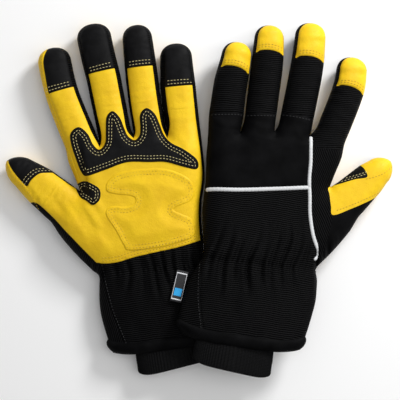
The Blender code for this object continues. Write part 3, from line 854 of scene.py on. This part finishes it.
class Surface:
    """A glove's whole outer surface: the palm and back sides joined along the outline."""

    def __init__(self, form):
        self.form = form
        self.panels = Panels(form)
        outline = form.outline
        rim = form.lift(outline, True, rim=True)
        self.points = np.column_stack((outline, rim))
        sides = [self.add_side(palm) for palm in (True, False)]
        self.faces, self.names, self.segments = (
            np.concatenate(parts) for parts in zip(*sides))
        self.normals = self.vertex_normals()

    def add_side(self, palm):
        """Adds one side's points; returns its faces with their panels and segments."""
        form, panels = self.form, self.panels
        lines = panels.palm_lines if palm else panels.back_lines
        flat, faces, on_outline = triangulate(form.outline, lines)
        centres = flat[faces].mean(1)
        kept = centres[:, 1] > form.hem_v(centres[:, 0])
        faces, centres = faces[kept], centres[kept]
        index = np.where(on_outline >= 0, on_outline, 0)
        fresh = on_outline < 0
        index[fresh] = len(self.points) + np.arange(fresh.sum())
        lift = form.lift(flat[fresh], palm)
        self.points = np.vstack((self.points, np.column_stack((flat[fresh], lift))))
        faces = index[faces]
        segments = panels.segment(centres)
        names = (panels.palm if palm else panels.back)(centres, segments)
        return (faces if palm else faces[:, ::-1]), names, segments

    def vertex_normals(self):
        corners = self.points[self.faces]
        cross = np.cross(corners[:, 1] - corners[:, 0], corners[:, 2] - corners[:, 0])
        normals = np.zeros_like(self.points)
        for k in range(3):
            np.add.at(normals, self.faces[:, k], cross)
        return normals / np.maximum(np.linalg.norm(normals, axis=1), 1e-12)[:, None]


# ---- materials ----------------------------------------------------------------------
class Nodes:
    """A small helper for writing shader node trees."""

    def __init__(self, name):
        self.material = bpy.data.materials.new(name)
        self.material.use_nodes = True
        self.tree = self.material.node_tree
        self.shader = self.tree.nodes["Principled BSDF"]
        rest = self.tree.nodes.new("ShaderNodeAttribute")
        rest.attribute_name = "rest"
        self.place = rest.outputs["Vector"]

    def link(self, value, socket):
        if isinstance(value, bpy.types.NodeSocket):
            self.tree.links.new(value, socket)
        else:
            socket.default_value = value

    def node(self, kind, inputs, output=0, **settings):
        """A new node's output; inputs holds a value or a socket for each input's name."""
        node = self.tree.nodes.new("ShaderNode" + kind)
        for name, value in settings.items():
            setattr(node, name, value)
        for name, value in inputs.items():
            self.link(value, node.inputs[name])
        return node.outputs[output]

    def math(self, operation, a, b=0.0):
        return self.node("Math", {0: a, 1: b}, operation=operation)

    def noise(self, scale, detail=2.0, place=None, roughness=0.5):
        return self.node("TexNoise", {"Vector": place or self.place, "Scale": scale,
                                      "Detail": detail, "Roughness": roughness})

    def cells(self, scale):
        return self.node("TexVoronoi", {"Vector": self.place, "Scale": scale}, "Distance")

    def stretched(self, scale):
        return self.node("Mapping", {"Vector": self.place, "Scale": scale})

    def axis(self, k):
        return self.node("SeparateXYZ", {0: self.place}, k)

    def ramp(self, value, low, high, dark, light):
        return self.node("MapRange", {"Value": value, "From Min": low, "From Max": high,
                                      "To Min": dark, "To Max": light})

    def between(self, value, low, high, dark, light):
        """The dark colour where value is low, the light one where it is high."""
        return self.mix(self.ramp(value, low, high, 0.0, 1.0), dark, light)

    def mix(self, factor, dark, light):
        return self.node("Mix", {"Factor": factor, "A": dark, "B": light}, "Result",
                         data_type="RGBA")

    def bump(self, height, distance, strength=1.0, normal=None):
        inputs = {"Height": height, "Distance": distance, "Strength": strength}
        if normal:
            inputs["Normal"] = normal
        return self.node("Bump", inputs)

    def done(self, color, roughness, normal, **fixed):
        fixed.update(Base_Color=color, Roughness=roughness, Normal=normal)
        for name, value in fixed.items():
            self.link(value, self.shader.inputs[name.replace("_", " ")])
        return self.material


def rgb(r, g, b):
    return (r, g, b, 1.0)


def yellow_leather():
    n = Nodes("yellow_leather")
    grain = n.cells(0.95)
    fine = n.noise(2.6, 3.0)
    mottle = n.noise(0.35, 4.0)
    color = n.between(n.noise(0.045, 3.0), 0.35, 0.65, rgb(0.77, 0.48, 0.008),
                      rgb(0.85, 0.555, 0.010))
    color = n.mix(n.ramp(mottle, 0.45, 0.75, 0.0, 0.35), color, rgb(0.74, 0.45, 0.01))
    height = n.math("ADD", n.math("MULTIPLY", grain, -0.7), n.math("MULTIPLY", fine, 0.9))
    normal = n.bump(height, 0.00013, 0.75)
    normal = n.bump(n.noise(0.17, 3.0), 0.0011, 0.35, normal)
    rough = n.ramp(n.noise(0.5), 0.3, 0.7, 0.46, 0.60)
    return n.done(color, rough, normal, Specular_IOR_Level=0.22)


def black_leather():
    n = Nodes("black_leather")
    fine = n.noise(3.4, 4.0, roughness=0.65)
    cells = n.cells(1.6)
    color = n.between(n.noise(0.12), 0.35, 0.65, rgb(0.0022, 0.0022, 0.0025),
                      rgb(0.0050, 0.0050, 0.0055))
    height = n.math("ADD", n.math("MULTIPLY", cells, -0.5), fine)
    normal = n.bump(height, 0.00012, 0.8)
    rough = n.ramp(fine, 0.3, 0.7, 0.5, 0.68)
    return n.done(color, rough, normal, Specular_IOR_Level=0.10)


def rib_fabric():
    n = Nodes("rib_fabric")
    wobble = n.math("MULTIPLY", n.noise(0.05, 1.0), 3.0)
    across = n.math("MULTIPLY", n.math("ADD", n.axis(1), wobble), tau / 1.8)
    rib = n.math("SINE", across)
    weave = n.noise(2.4, 2.0, n.stretched((0.55, 1.6, 1.0)))
    # painted highlight and shade: the colour is lighter on the ridges of the ribs and darker in the
    # troughs, where light and shade fall; the weave noise adds random tone
    ridge_light_and_weave = n.math("MULTIPLY", n.ramp(rib, -0.2, 1.0, 0.0, 1.0), n.ramp(weave, 0.3, 0.7, 0.4, 1))
    color = n.mix(ridge_light_and_weave, rgb(0.0004, 0.0004, 0.0005), rgb(0.0115, 0.0115, 0.0122))
    height = n.math("ADD", n.math("MULTIPLY", rib, 0.5), n.math("MULTIPLY", weave, 0.7))
    normal = n.bump(height, 0.00045, 0.9)
    return n.done(color, 0.5, normal, Specular_IOR_Level=0.035)


def plain_fabric():
    n = Nodes("plain_fabric")
    weave = n.noise(2.2, 3.0, roughness=0.7)
    color = n.between(n.noise(0.06, 3.0), 0.35, 0.65, rgb(0.0014, 0.0014, 0.0016),
                      rgb(0.0036, 0.0036, 0.0040))
    normal = n.bump(weave, 0.0002, 0.7)
    return n.done(color, 0.6, normal, Specular_IOR_Level=0.035)


def knit():
    n = Nodes("knit")
    loops = n.math("SINE", n.math("MULTIPLY", n.axis(1), tau / 1.3))
    yarn = n.noise(2.4, 2.0)
    height = n.math("ADD", n.math("MULTIPLY", loops, 0.4), yarn)
    color = n.between(yarn, 0.35, 0.7, rgb(0.0016, 0.0016, 0.0018), rgb(0.0085, 0.0085, 0.0092))
    normal = n.bump(height, 0.0003, 0.8)
    return n.done(color, 0.6, normal, Specular_IOR_Level=0.06)


def piping():
    n = Nodes("piping")
    weave = n.noise(2.6, 2.0, roughness=0.6)
    color = n.between(weave, 0.3, 0.7, rgb(0.50, 0.51, 0.52), rgb(0.72, 0.73, 0.74))
    return n.done(color, 0.62, n.bump(weave, 0.0002, 0.7), Sheen_Weight=0.2)


def lining():
    n = Nodes("lining")
    fleece = n.noise(1.2, 5.0, roughness=0.75)
    color = n.between(fleece, 0.3, 0.7, rgb(0.014, 0.014, 0.016), rgb(0.05, 0.05, 0.055))
    return n.done(color, 0.95, n.bump(fleece, 0.0007, 0.9), Sheen_Weight=0.25)


def thread(name, dark, light):
    n = Nodes(name)
    twist = n.noise(3.5, 2.0)
    color = n.between(twist, 0.35, 0.65, dark, light)
    return n.done(color, 0.6, n.bump(twist, 0.0001, 0.8))


def label():
    """A dark woven ground with a pale border and one coloured band."""
    n = Nodes("label")
    x, y = n.math("ABSOLUTE", n.axis(0)), n.axis(1)
    frame_line = n.math("MAXIMUM", n.math("DIVIDE", x, LABEL_SIZE[0] / 2),
                        n.math("DIVIDE", n.math("ABSOLUTE", y), LABEL_SIZE[1] / 2))
    border = n.math("MULTIPLY", n.math("GREATER_THAN", frame_line, 0.80),
                    n.math("LESS_THAN", frame_line, 0.87))
    band = n.math("MULTIPLY", n.math("LESS_THAN", n.math("ABSOLUTE", n.math("ADD", y, 5.2)),
                                     3.4), n.math("LESS_THAN", x, 3.4))
    color = n.mix(border, rgb(0.012, 0.012, 0.014), rgb(0.75, 0.76, 0.78))
    color = n.mix(band, color, rgb(0.018, 0.36, 0.76))
    return n.done(color, 0.7, n.bump(n.noise(3.0, 2.0), 0.0002, 0.6))


MATERIALS = {
    "label": label(),
    "yellow_leather": yellow_leather(), "black_leather": black_leather(),
    "rib_fabric": rib_fabric(), "plain_fabric": plain_fabric(), "knit": knit(),
    "piping": piping(), "lining": lining(),
    "cream_thread": thread("cream_thread", rgb(0.50, 0.42, 0.17), rgb(0.78, 0.68, 0.36)),
    "yellow_thread": thread("yellow_thread", rgb(0.42, 0.27, 0.012), rgb(0.62, 0.42, 0.03)),
    "black_thread": thread("black_thread", rgb(0.006, 0.006, 0.007), rgb(0.020, 0.020, 0.022)),
}


# ---- pieces on the gloves -------------------------------------------------------------
class Glove:
    """Places pieces of one glove in the row frame and ties the hand's pieces to the hand's body."""

    def __init__(self, name):
        self.name = name
        self.form = Form(name)
        self.make_frame()

    def make_frame(self):
        """The glove's own axes, from its hinges."""
        index, little, thumb = (np.array(JOINTS[f"{self.name}_{joint}"]["pos_m"])
                                for joint in ("index_knuckle", "little_knuckle", "thumb_base"))
        u = (little - index) / np.linalg.norm(little - index)
        down = (thumb - index) * 1000 + u * (-THUMB_ROOT[0] - KNUCKLE_U)
        v = -down / np.linalg.norm(down)
        v = v - u * (u @ v)
        v /= np.linalg.norm(v)
        self.axes = np.stack((u, v, np.cross(u, v)), 1)
        hinge = np.array((-KNUCKLE_U, KNUCKLE_V, HINGE_W))
        self.origin = index - self.axes @ hinge / 1000

    def place(self, points):
        """Row-frame metres for glove millimetres."""
        return np.asarray(points) @ self.axes.T / 1000 + self.origin

    def tie(self, obj, segment):
        """Ties a piece of the hand to the hand's body; for a digit's piece it works out where the
        joint's bend starts and ends, but only bakes the piece's transform.
        """
        g = self.name
        digit = segment.split("_")[0]
        if segment == "hand":
            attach(obj, f"{g}_hand")
            return
        shape = self.form.digits[digit]
        if segment == digit:
            if digit == "thumb":
                start, end = (thumb_point(along, 0) for along in THUMB_FLEX)
            else:
                start, end = ((shape.line[0][0], v) for v in KNUCKLE_FLEX)
        else:
            start, end = shape.at(shape.joint + np.array((-TIP_FLEX, TIP_FLEX)), 0.0)
        ends = self.place([(*start, FINGER_HALF), (*end, FINGER_HALF)])
        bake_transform(obj)

    def add(self, name, points, faces, material, segment="hand", rest=None, slot=None,
            normals=None, stands_for=None, turn_out=False):
        """A mesh piece from glove millimetres."""
        name = f"{self.name}_{name}"
        mesh = bpy.data.meshes.new(name)
        mesh.from_pydata(self.place(points).tolist(), [], faces)
        if turn_out:
            turn_faces_out(mesh)
        mesh.materials.append(MATERIALS[material])
        layer = mesh.attributes.new("rest", "FLOAT_VECTOR", "POINT")
        rest = points if rest is None else rest
        layer.data.foreach_set("vector", np.asarray(rest, np.float32).ravel())
        mesh.shade_smooth()
        if normals is not None:
            mesh.normals_split_custom_set((normals @ self.axes.T).tolist())
        obj = bpy.data.objects.new(name, mesh)
        link(obj)
        self.tie(obj, segment)
        if stands_for:
            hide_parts(f"{self.name}_{stands_for}")
        return obj


def turn_faces_out(mesh):
    shaped = bmesh.new()
    shaped.from_mesh(mesh)
    bmesh.ops.recalc_face_normals(shaped, faces=shaped.faces)
    shaped.to_mesh(mesh)
    shaped.free()


def panel_facts(panel, segment):
    """The CAD node a panel stands for, and its material slot."""
    digit = segment.split("_")[0]
    if panel == "front":
        node = "palm_leather" if digit == "hand" else f"{digit}_front_leather"
        return node, "yellow_leather"
    if panel == "overlay":
        return ("thumb_tip" if digit == "thumb" else f"{digit}_tip_overlay"), "black_leather"
    if panel == "back":
        return f"{digit}_back_panel", "rib_fabric"
    if panel == "cap":
        return f"{digit}_tip_cap", "yellow_leather"
    return {"grip": ("palm_grip_patch", "black_leather"),
            "crotch": ("thumb_crotch_patch", "black_leather"),
            "heel": ("heel_pad", "yellow_leather"),
            "hand_back": ("hand_back_panel", "plain_fabric"),
            "lower": ("lower_back_panel", "rib_fabric"),
            "side": ("lower_back_panel", "rib_fabric"),
            "gauntlet": ("gauntlet", "rib_fabric"),
            "thumb_back": ("thumb_back_panel", "plain_fabric"),
            "thumb_yellow": ("thumb_tip", "yellow_leather")}[panel]


RIB_TURN = {"side": radians(58), "back": radians(-8)}
PALM_STRIP_TURN, BACK_STRIP_TURN = radians(64), radians(-20)


def rib_place(panel, points, palm_side):
    """Where each point lies on the panel's cloth, whose ribs run along its first axis."""
    turn = np.full(len(points), RIB_TURN.get(panel, 0.0))
    u, v = points[:, 0], points[:, 1]
    if panel == "gauntlet":
        seam = np.array(PALM_SEAM[::-1])
        turn[palm_side & (u < np.interp(v, seam[:, 1], seam[:, 0]))] = PALM_STRIP_TURN
        seam = np.array(BACK_SEAM[::-1])
        turn[~palm_side & (u > np.interp(v, seam[:, 1], seam[:, 0]))] = BACK_STRIP_TURN
    c, s = np.cos(turn), np.sin(turn)
    return np.column_stack((u * c + v * s, v * c - u * s, points[:, 2]))


def thicken(top, normal, faces, thickness=BACKING):
    """A closed layer under some faces: its points, faces and corner normals."""
    count = len(top)
    edges = np.vstack([np.column_stack((faces[:, k - 1], faces[:, k]))
                       for k in range(faces.shape[1])])
    key = np.sort(edges, 1) @ np.array((count, 1))
    _, first, times = np.unique(key, return_index=True, return_counts=True)
    rim = edges[first[times == 1]]
    walls = np.column_stack((rim[:, ::-1], rim + count))
    points = np.vstack((top, top - normal * thickness))
    along = points[walls[:, 1]] - points[walls[:, 0]]
    down = points[walls[:, 3]] - points[walls[:, 0]]
    flat = np.cross(along, down)
    flat /= np.maximum(np.linalg.norm(flat, axis=1), 1e-9)[:, None]
    under = faces[:, ::-1]
    normals = np.vstack((normal[faces].reshape(-1, 3), -normal[under].reshape(-1, 3),
                         np.repeat(flat, 4, 0)))
    return points, faces.tolist() + (under + count).tolist() + walls.tolist(), normals


def shell_pieces(glove, surface):
    """One closed piece for each panel in each body segment."""
    labels = np.char.add(np.char.add(surface.names, ":"), surface.segments)
    for label in sorted(set(labels)):
        panel, segment = label.split(":")
        faces = surface.faces[labels == label]
        if len(faces) < 6:
            continue
        used, local = np.unique(faces, return_inverse=True)
        normal = surface.normals[used]
        points, polygons, normals = thicken(surface.points[used], normal,
                                            local.reshape(faces.shape))
        rest = rib_place(panel, points, np.tile(normal[:, 2] > 0, 2))
        node, slot = panel_facts(panel, segment)
        obj = glove.add(f"{panel}_{segment}", points, polygons, slot, segment, rest, slot,
                        normals, node)


# ---- stitches -------------------------------------------------------------------------
def patch_rows(form):
    """Double rows inside the edges of the sewn patches."""
    rows = []
    for outline, depths, kind in ((form.grip, (2.9, 5.4), "cream_thread"),
                                  (form.heel, (2.3, 4.9), "yellow_thread"),
                                  (form.crotch, (2.2, 4.4), "cream_thread")):
        for depth in depths:
            rows += [(run, True, kind) for run in runs(*inset(outline, depth))]
    return rows


def finger_rows(digit):
    """Double rows above the overlay's seam on the palm side and the cap's on the back."""
    right, left = SIDE_STRIPS[digit.name]
    rows = []
    for above in (2.3, 5.2):
        s = digit.joint + above
        half = digit.half(s)
        t = np.linspace(-(half - max(left, 0.0)) + 1.6, half - right - 1.0, 14)
        rows.append((digit.at(np.full(14, s), t), True, "cream_thread"))
    start = CAP_START[digit.name]
    t = np.linspace(2.2 - digit.half(start), digit.half(start) - 4.2, 14)
    for above in (2.6, 4.8):
        s = start + CAP_BULGE * (1 - (t / 14.0) ** 2) + above
        rows.append((digit.at(s, t), False, "yellow_thread"))
    return rows


def seam_rows(form, panels):
    """Single rows beside the long seams, and double rows at the hem and the thumb."""
    overlay = np.array(THUMB_OVERLAY[1:6])
    hem = form.leather_hem[(form.leather_hem[:, 0] > -43) & (form.leather_hem[:, 0] < 45)]
    knuckle = panels.knuckle[(panels.knuckle[:, 0] > -28) & (panels.knuckle[:, 0] < 62)]
    sliver = curve([(-56.0, 80.6), (-66.0, 85.6), (-76.0, 90.2), (-82.6, 93.6)])
    palm = [(form.palm_seam[:-5], (1.7, 0.0), "black_thread"),
            (curve(overlay + THUMB_ALONG * 2.4), (0, 0.4), "cream_thread"),
            (curve(overlay + THUMB_ALONG * 5.2), (0, 0.4), "cream_thread"),
            (hem, (0.0, 2.6), "yellow_thread"), (hem, (0.0, 5.2), "yellow_thread"),
            (curve(INDEX_STRIP[1:]), (-1.7, 0.0), "yellow_thread"),
            (curve(THUMB_STRIP), (-2.2, -1.6), "yellow_thread"),
            (curve(THUMB_OVERLAY[5:9]), (-2.2, -0.9), "yellow_thread")]
    back = [(form.back_seam[:-5], (1.7, 0.0), "black_thread"),
            (knuckle, (0.0, -2.2), "black_thread"),
            (curve([(-60.6, 58.8), (-74.0, 66.0), (-88.0, 74.6), (-98.5, 81.2)]), (0.0, 0.0),
             "yellow_thread"),
            (curve(THUMB_SEAM), (1.3, -2.0), "yellow_thread"),
            (sliver, (-0.81, 1.8), "cream_thread"), (sliver, (-1.89, 4.2), "cream_thread")]
    return [(line + shift, on_palm, kind) for on_palm, rows in ((True, palm), (False, back))
            for line, shift, kind in rows]


def stitch_rows(form, panels):
    """(flat line, on the palm side, thread) for each row of stitches."""
    rows = patch_rows(form)
    for name in FINGERS:
        rows += finger_rows(form.digits[name])
    return rows + seam_rows(form, panels)


def stitch_shape(sides=6):
    """One stitch: a short thread that dips into the cloth at both ends."""
    stations = ((-0.5, 0.05, -0.30), (-0.42, 0.2, -0.12), (-0.2, 0.27, 0.1),
                (0.2, 0.27, 0.1), (0.42, 0.2, -0.12), (0.5, 0.05, -0.30))
    points = [(along * STITCH_LENGTH, radius * cos(k * tau / sides),
               height + 0.85 * radius * sin(k * tau / sides))
              for along, radius, height in stations for k in range(sides)]
    faces = [(r * sides + k, r * sides + (k + 1) % sides, (r + 1) * sides + (k + 1) % sides,
              (r + 1) * sides + k)
             for r in range(len(stations) - 1) for k in range(sides)]
    last = (len(stations) - 1) * sides
    faces += [tuple(range(sides))[::-1], tuple(range(last, last + sides))]
    return np.array(points), faces


def stitches(glove, panels):
    """All the stitches of a glove, one piece for each thread and body segment."""
    form = glove.form
    shape, shape_faces = stitch_shape()
    spots = {True: [], False: []}
    for line, palm, kind in stitch_rows(form, panels):
        dense = resample(line, STITCH_PITCH / 8)
        at = dense[4::8]
        way = np.gradient(dense, axis=0)[4::8]
        good = inside_distance(at, form.outline) > 0.8
        spots[palm] += [(a, w, kind) for a, w in zip(at[good], way[good])]
    groups = {}
    for palm, found in spots.items():
        at = np.array([a for a, _, _ in found])
        base, normal = form.on_surface(at, palm, 0.12)
        along = np.column_stack((np.array([w for _, w, _ in found]), np.zeros(len(at))))
        along -= normal * np.sum(along * normal, axis=1)[:, None]
        along /= np.linalg.norm(along, axis=1)[:, None]
        side = np.cross(normal, along)
        verts = (base[:, None] + along[:, None] * shape[None, :, :1]
                 + side[:, None] * shape[None, :, 1:2] + normal[:, None] * shape[None, :, 2:])
        for k, segment in enumerate(panels.segment(at)):
            groups.setdefault((found[k][2], segment), []).append(verts[k])
    for (kind, segment), found in sorted(groups.items()):
        faces = [tuple(i + k * len(shape) for i in face)
                 for k in range(len(found)) for face in shape_faces]
        glove.add(f"{kind}_{segment}", np.vstack(found), faces, kind, segment)


# ---- piping, binding, cuff, liner and label ----------------------------------------------
def loft(rings, closed):
    """Faces between rings of equal length; the last ring joins the first if closed."""
    count = len(rings[0])
    faces = []
    last = len(rings) if closed else len(rings) - 1
    for r in range(last):
        a, b = r * count, ((r + 1) % len(rings)) * count
        faces += [(a + k, a + (k + 1) % count, b + (k + 1) % count, b + k)
                  for k in range(count)]
    if not closed:
        faces += [tuple(range(count))[::-1],
                  tuple(range(len(rings) * count - count, len(rings) * count))]
    return np.vstack(rings), faces


def piping_pieces(glove):
    """The pale piping on the back: a slightly flattened, gathered cord in its seam."""
    form = glove.form
    for name, line, width in (("cross", form.cross_piping, 1.75),
                              ("long", form.long_piping, 1.6)):
        line = resample(line, 0.8)
        inside = inside_distance(line, form.outline) > 1.0
        line = line[inside]
        base, normal = form.on_surface(line, False, 0.25)
        along = np.gradient(base, axis=0)
        along /= np.linalg.norm(along, axis=1)[:, None]
        side = np.cross(normal, along)
        s = np.arange(len(line)) * 0.8
        puff = 1 + 0.045 * np.sin(tau * s / 3.1) + 0.03 * noise(line, 2.2, 5)
        ends = np.minimum(np.minimum(s, s[-1] - s) / 1.2, 1.0)
        puff = puff * np.sqrt(1 - (1 - ends) ** 2 * 0.97)
        rings = []
        for k in range(14):
            turn = tau * k / 14
            rings.append(base + side * (width * puff * cos(turn))[:, None]
                         + normal * (1.05 * puff * sin(turn))[:, None])
        points = np.stack(rings, 1)
        verts, faces = loft(list(points), closed=False)
        glove.add(f"piping_{name}", verts, faces, "piping", slot="piping",
                  stands_for="piping", turn_out=True)


def hem_ring(form, down, count=168):
    """Points round the gauntlet, a distance below its end, with outward directions."""
    edge_v = GAUNTLET_END_V + END_RISE - down
    low = form.outline[form.outline[:, 1] < 3]
    ends = []
    for side in (low[low[:, 0] < HAND_MIDDLE_U], low[low[:, 0] > HAND_MIDDLE_U]):
        side = side[np.argsort(side[:, 1])]
        ends.append(np.interp(edge_v, side[:, 1], side[:, 0]))
    turn = np.arange(count) * tau / count
    u = (ends[0] + ends[1]) / 2 + (ends[1] - ends[0]) / 2 * np.cos(turn)
    flat = np.column_stack((u, form.hem_v(u) - down))
    half = form.half_height(flat) * (np.abs(np.sin(turn)) > 1e-6)
    centre = form.half_thickness(flat) + FLOOR_GAP
    ring = np.column_stack((flat, centre + half * np.sign(np.sin(turn))))
    tangent = np.roll(ring, -2, axis=0) - np.roll(ring, 2, axis=0)
    out = np.column_stack((tangent[:, 2], np.zeros(count), -tangent[:, 0]))
    room = np.clip(half / 7.0, 0.3, 1.0)
    return ring, out / np.linalg.norm(out, axis=1)[:, None], room


def binding_piece(glove):
    """The soft rolled band that finishes the gauntlet."""
    profile = ((-1.4, -0.8), (-0.6, 0.2), (0.3, 1.0), (1.6, 1.7), (3.4, 2.1), (5.4, 2.1),
               (7.4, 1.7), (9.0, 0.9), (10.1, -0.2), (10.5, -1.4), (10.0, -2.6), (8.6, -3.4),
               (5.5, -3.8), (2.0, -3.6), (-1.0, -3.0))
    rings = []
    for down, out in profile:
        ring, way, room = hem_ring(glove.form, down)
        flat = ring[:, :2]
        soft = 0.45 * noise(flat, 11.0, 3) + 0.25 * noise(flat, 4.5, 4)
        move = out + soft if out > 0 else out * room
        rings.append(ring + way * (move * np.ones(len(ring)))[:, None])
    points, faces = loft(rings, closed=True)
    obj = glove.add("binding", points, faces, "plain_fabric", slot="plain_fabric",
                    stands_for="gauntlet_binding", turn_out=True)


def cuff_ring(glove, k, out, count):
    """A ring of the knit cuff: k is 0 inside the gauntlet and 1 at the cuff's end."""
    (u0, v0), (u1, v1) = glove.form.shape["cuff_end"]
    turn = np.arange(count) * tau / count
    c, s = np.cos(turn), np.sin(turn)
    centre, half = 9.0 + 2.2 * k, 33.0 + 2.2 * k
    x = np.sign(c) * np.abs(c) ** 0.86
    y = np.sign(s) * np.abs(s) ** 0.72
    u = centre + (half + out) * x
    end = v0 + (v1 - v0) * (u - u0) / (u1 - u0) + 3.6 * np.abs(x) ** 7
    v = -20.0 + (end + 20.0) * k
    sag = 0.5 * np.sin(u / 8.0 + 3 * k) * k + 0.5 * np.sin(u / 13.0 - 5 * k)
    w = 11.5 + (7.6 + out) * y + sag
    return np.column_stack((u, v, w))


def cuff_piece(glove):
    """The knit cuff: ribs all round, folded over at its end."""
    ribs = 80
    count = ribs * 4
    rib = 0.42 * np.cos(np.arange(count) * tau / 4)
    rings = []
    for k in np.linspace(0.0, 0.965, 15):
        soft = 0.3 * sin(9 * k)
        rings.append(cuff_ring(glove, k, rib + soft - 0.25 * (k > 0.86) * (k < 0.9), count))
    for k, out, keep in ((0.985, -0.15, 0.9), (0.997, -0.7, 0.7), (1.0, -1.4, 0.5),
                         (0.996, -2.1, 0.5), (0.98, -2.6, 0.6)):
        rings.append(cuff_ring(glove, k, rib * keep + out, count))
    for k in (0.9, 0.75, 0.5, 0.25, 0.03):
        rings.append(cuff_ring(glove, k, -2.8 - 0.5 * rib, count))
    points, faces = loft(rings, closed=True)
    turn = np.tile(np.arange(count) * 2.0, len(rings))
    rest = np.column_stack((turn, points[:, 1], points[:, 2]))
    glove.add("cuff", points, faces, "knit", slot="knit", rest=rest, stands_for="knit_cuff",
              turn_out=True)


def liner_piece(glove):
    """The fleece lining seen between the gauntlet's end and the cuff."""
    profile = ((5.0, -3.0, 0.0), (-5.0, -3.4, 0.0), (-16.0, -3.8, 0.0), (-24.0, -4.4, 0.35),
               (-27.0, -3.0, 1.0), (-28.6, -2.4, 1.0), (-26.0, -2.6, 0.35),
               (-18.0, -2.2, 0.0), (-5.0, -2.0, 0.0), (5.0, -1.8, 0.0))
    rings = []
    for down, out, inward in profile:
        ring, way, room = hem_ring(glove.form, down)
        flat = ring[:, :2]
        ring = ring + way * (out * room + 0.35 * noise(flat, 3.0, 9))[:, None]
        inner = cuff_ring(glove, 0.25, -1.0, len(ring))
        inner[:, 1] = ring[:, 1]
        rings.append(ring * (1 - inward) + inner * inward)
    points, faces = loft(rings, closed=True)
    glove.add("liner", points, faces, "lining", slot="lining", stands_for="thermal_liner",
              turn_out=True)


def label_piece(glove):
    """A small plain woven label sewn to the gauntlet."""
    (width, length), turn, centre = LABEL_SIZE, radians(-21), (23.4, -17.4)
    across, down = 12, 22
    x, y = np.meshgrid(np.linspace(-width / 2, width / 2, across + 1),
                       np.linspace(-length / 2, length / 2, down + 1))
    x, y = x.ravel(), y.ravel()
    flat = np.column_stack((x * cos(turn) - y * sin(turn), x * sin(turn) + y * cos(turn)))
    flat += centre
    form = glove.form
    height = form.half_thickness(flat) + FLOOR_GAP + form.half_height(flat)
    loose = 2.6 + 0.9 * ((length / 2 - y) / length) ** 2 + 0.2 * np.sin(y / 4.0)
    top = np.column_stack((flat, height + loose))
    corner = np.arange(down * (across + 1)).reshape(down, -1)[:, :-1].ravel()
    cells = corner[:, None] + np.array((0, 1, across + 2, across + 1))
    points, faces, _ = thicken(top, np.array((0.0, 0.0, 1.0)) + 0 * top, cells, 0.7)
    rest = np.column_stack((x, y, 0 * x))
    glove.add("label", points, faces, "label", rest=np.vstack((rest, rest)), turn_out=True)


# ---- the scene ---------------------------------------------------------------------------
LIGHTS = {"key": ((0.70, 0.85, 0.62), 14.5, 0.35), "fill": ((0.9, 0.0, 0.9), 2.5, 0.8),
          "top": ((0.2, 0.1, 1.4), 4.5, 1.0)}     # place, watts, size
WORLD_STRENGTH = 0.32
FLOOR_REACH = 4.0
CAMERA_OFFSET = np.array((0.0441, 0.0630))      # from glove 1's wrist to the pair's middle
CAMERA_HEIGHT = 1.015


def link(obj):
    bpy.context.scene.collection.objects.link(obj)
    return obj


def make_floor():
    low = min(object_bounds()[0][2], CAD_LOW[2]) - 0.0002
    corners = ((-1, -1), (1, -1), (1, 1), (-1, 1))
    mesh = bpy.data.meshes.new("floor")
    mesh.from_pydata([(x * FLOOR_REACH, y * FLOOR_REACH, low) for x, y in corners], [],
                     [(0, 1, 2, 3)])
    pale = bpy.data.materials.new("floor")
    pale.use_nodes = True
    shader = pale.node_tree.nodes["Principled BSDF"]
    shader.inputs["Base Color"].default_value = rgb(0.95, 0.95, 0.95)
    shader.inputs["Roughness"].default_value = 0.9
    shader.inputs["Specular IOR Level"].default_value = 0.1
    mesh.materials.append(pale)
    link(bpy.data.objects.new("floor", mesh))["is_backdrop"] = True


def make_studio(glove):
    """Pale floor, soft light, and a camera straight above."""
    make_floor()
    scene = bpy.context.scene
    scene.world = bpy.data.worlds.new("studio")
    scene.world.use_nodes = True
    background = scene.world.node_tree.nodes["Background"]
    background.inputs["Color"].default_value = rgb(1.0, 1.0, 1.0)
    background.inputs["Strength"].default_value = WORLD_STRENGTH
    scene.view_settings.view_transform = "Standard"
    for name, (at, power, width) in LIGHTS.items():
        data = bpy.data.lights.new(name, "AREA")
        data.energy = power
        data.size = width
        light = link(bpy.data.objects.new(name, data))
        light.location = at
        light.rotation_euler = (-Vector(at)).to_track_quat("-Z", "Y").to_euler()
    lens = bpy.data.cameras.new("camera")
    lens.lens = 100.0
    lens.sensor_width = 36.0
    camera = link(bpy.data.objects.new("camera", lens))
    camera.location = (*(glove.origin[:2] + CAMERA_OFFSET), CAMERA_HEIGHT)
    scene.camera = camera


def build():
    gloves = [Glove(name) for name in ("glove1", "glove2")]
    for glove in gloves:
        surface = Surface(glove.form)
        shell_pieces(glove, surface)
        stitches(glove, surface.panels)
        for make in (piping_pieces, binding_piece, cuff_piece, liner_piece):
            make(glove)
    label_piece(gloves[0])
    make_studio(gloves[0])


build()
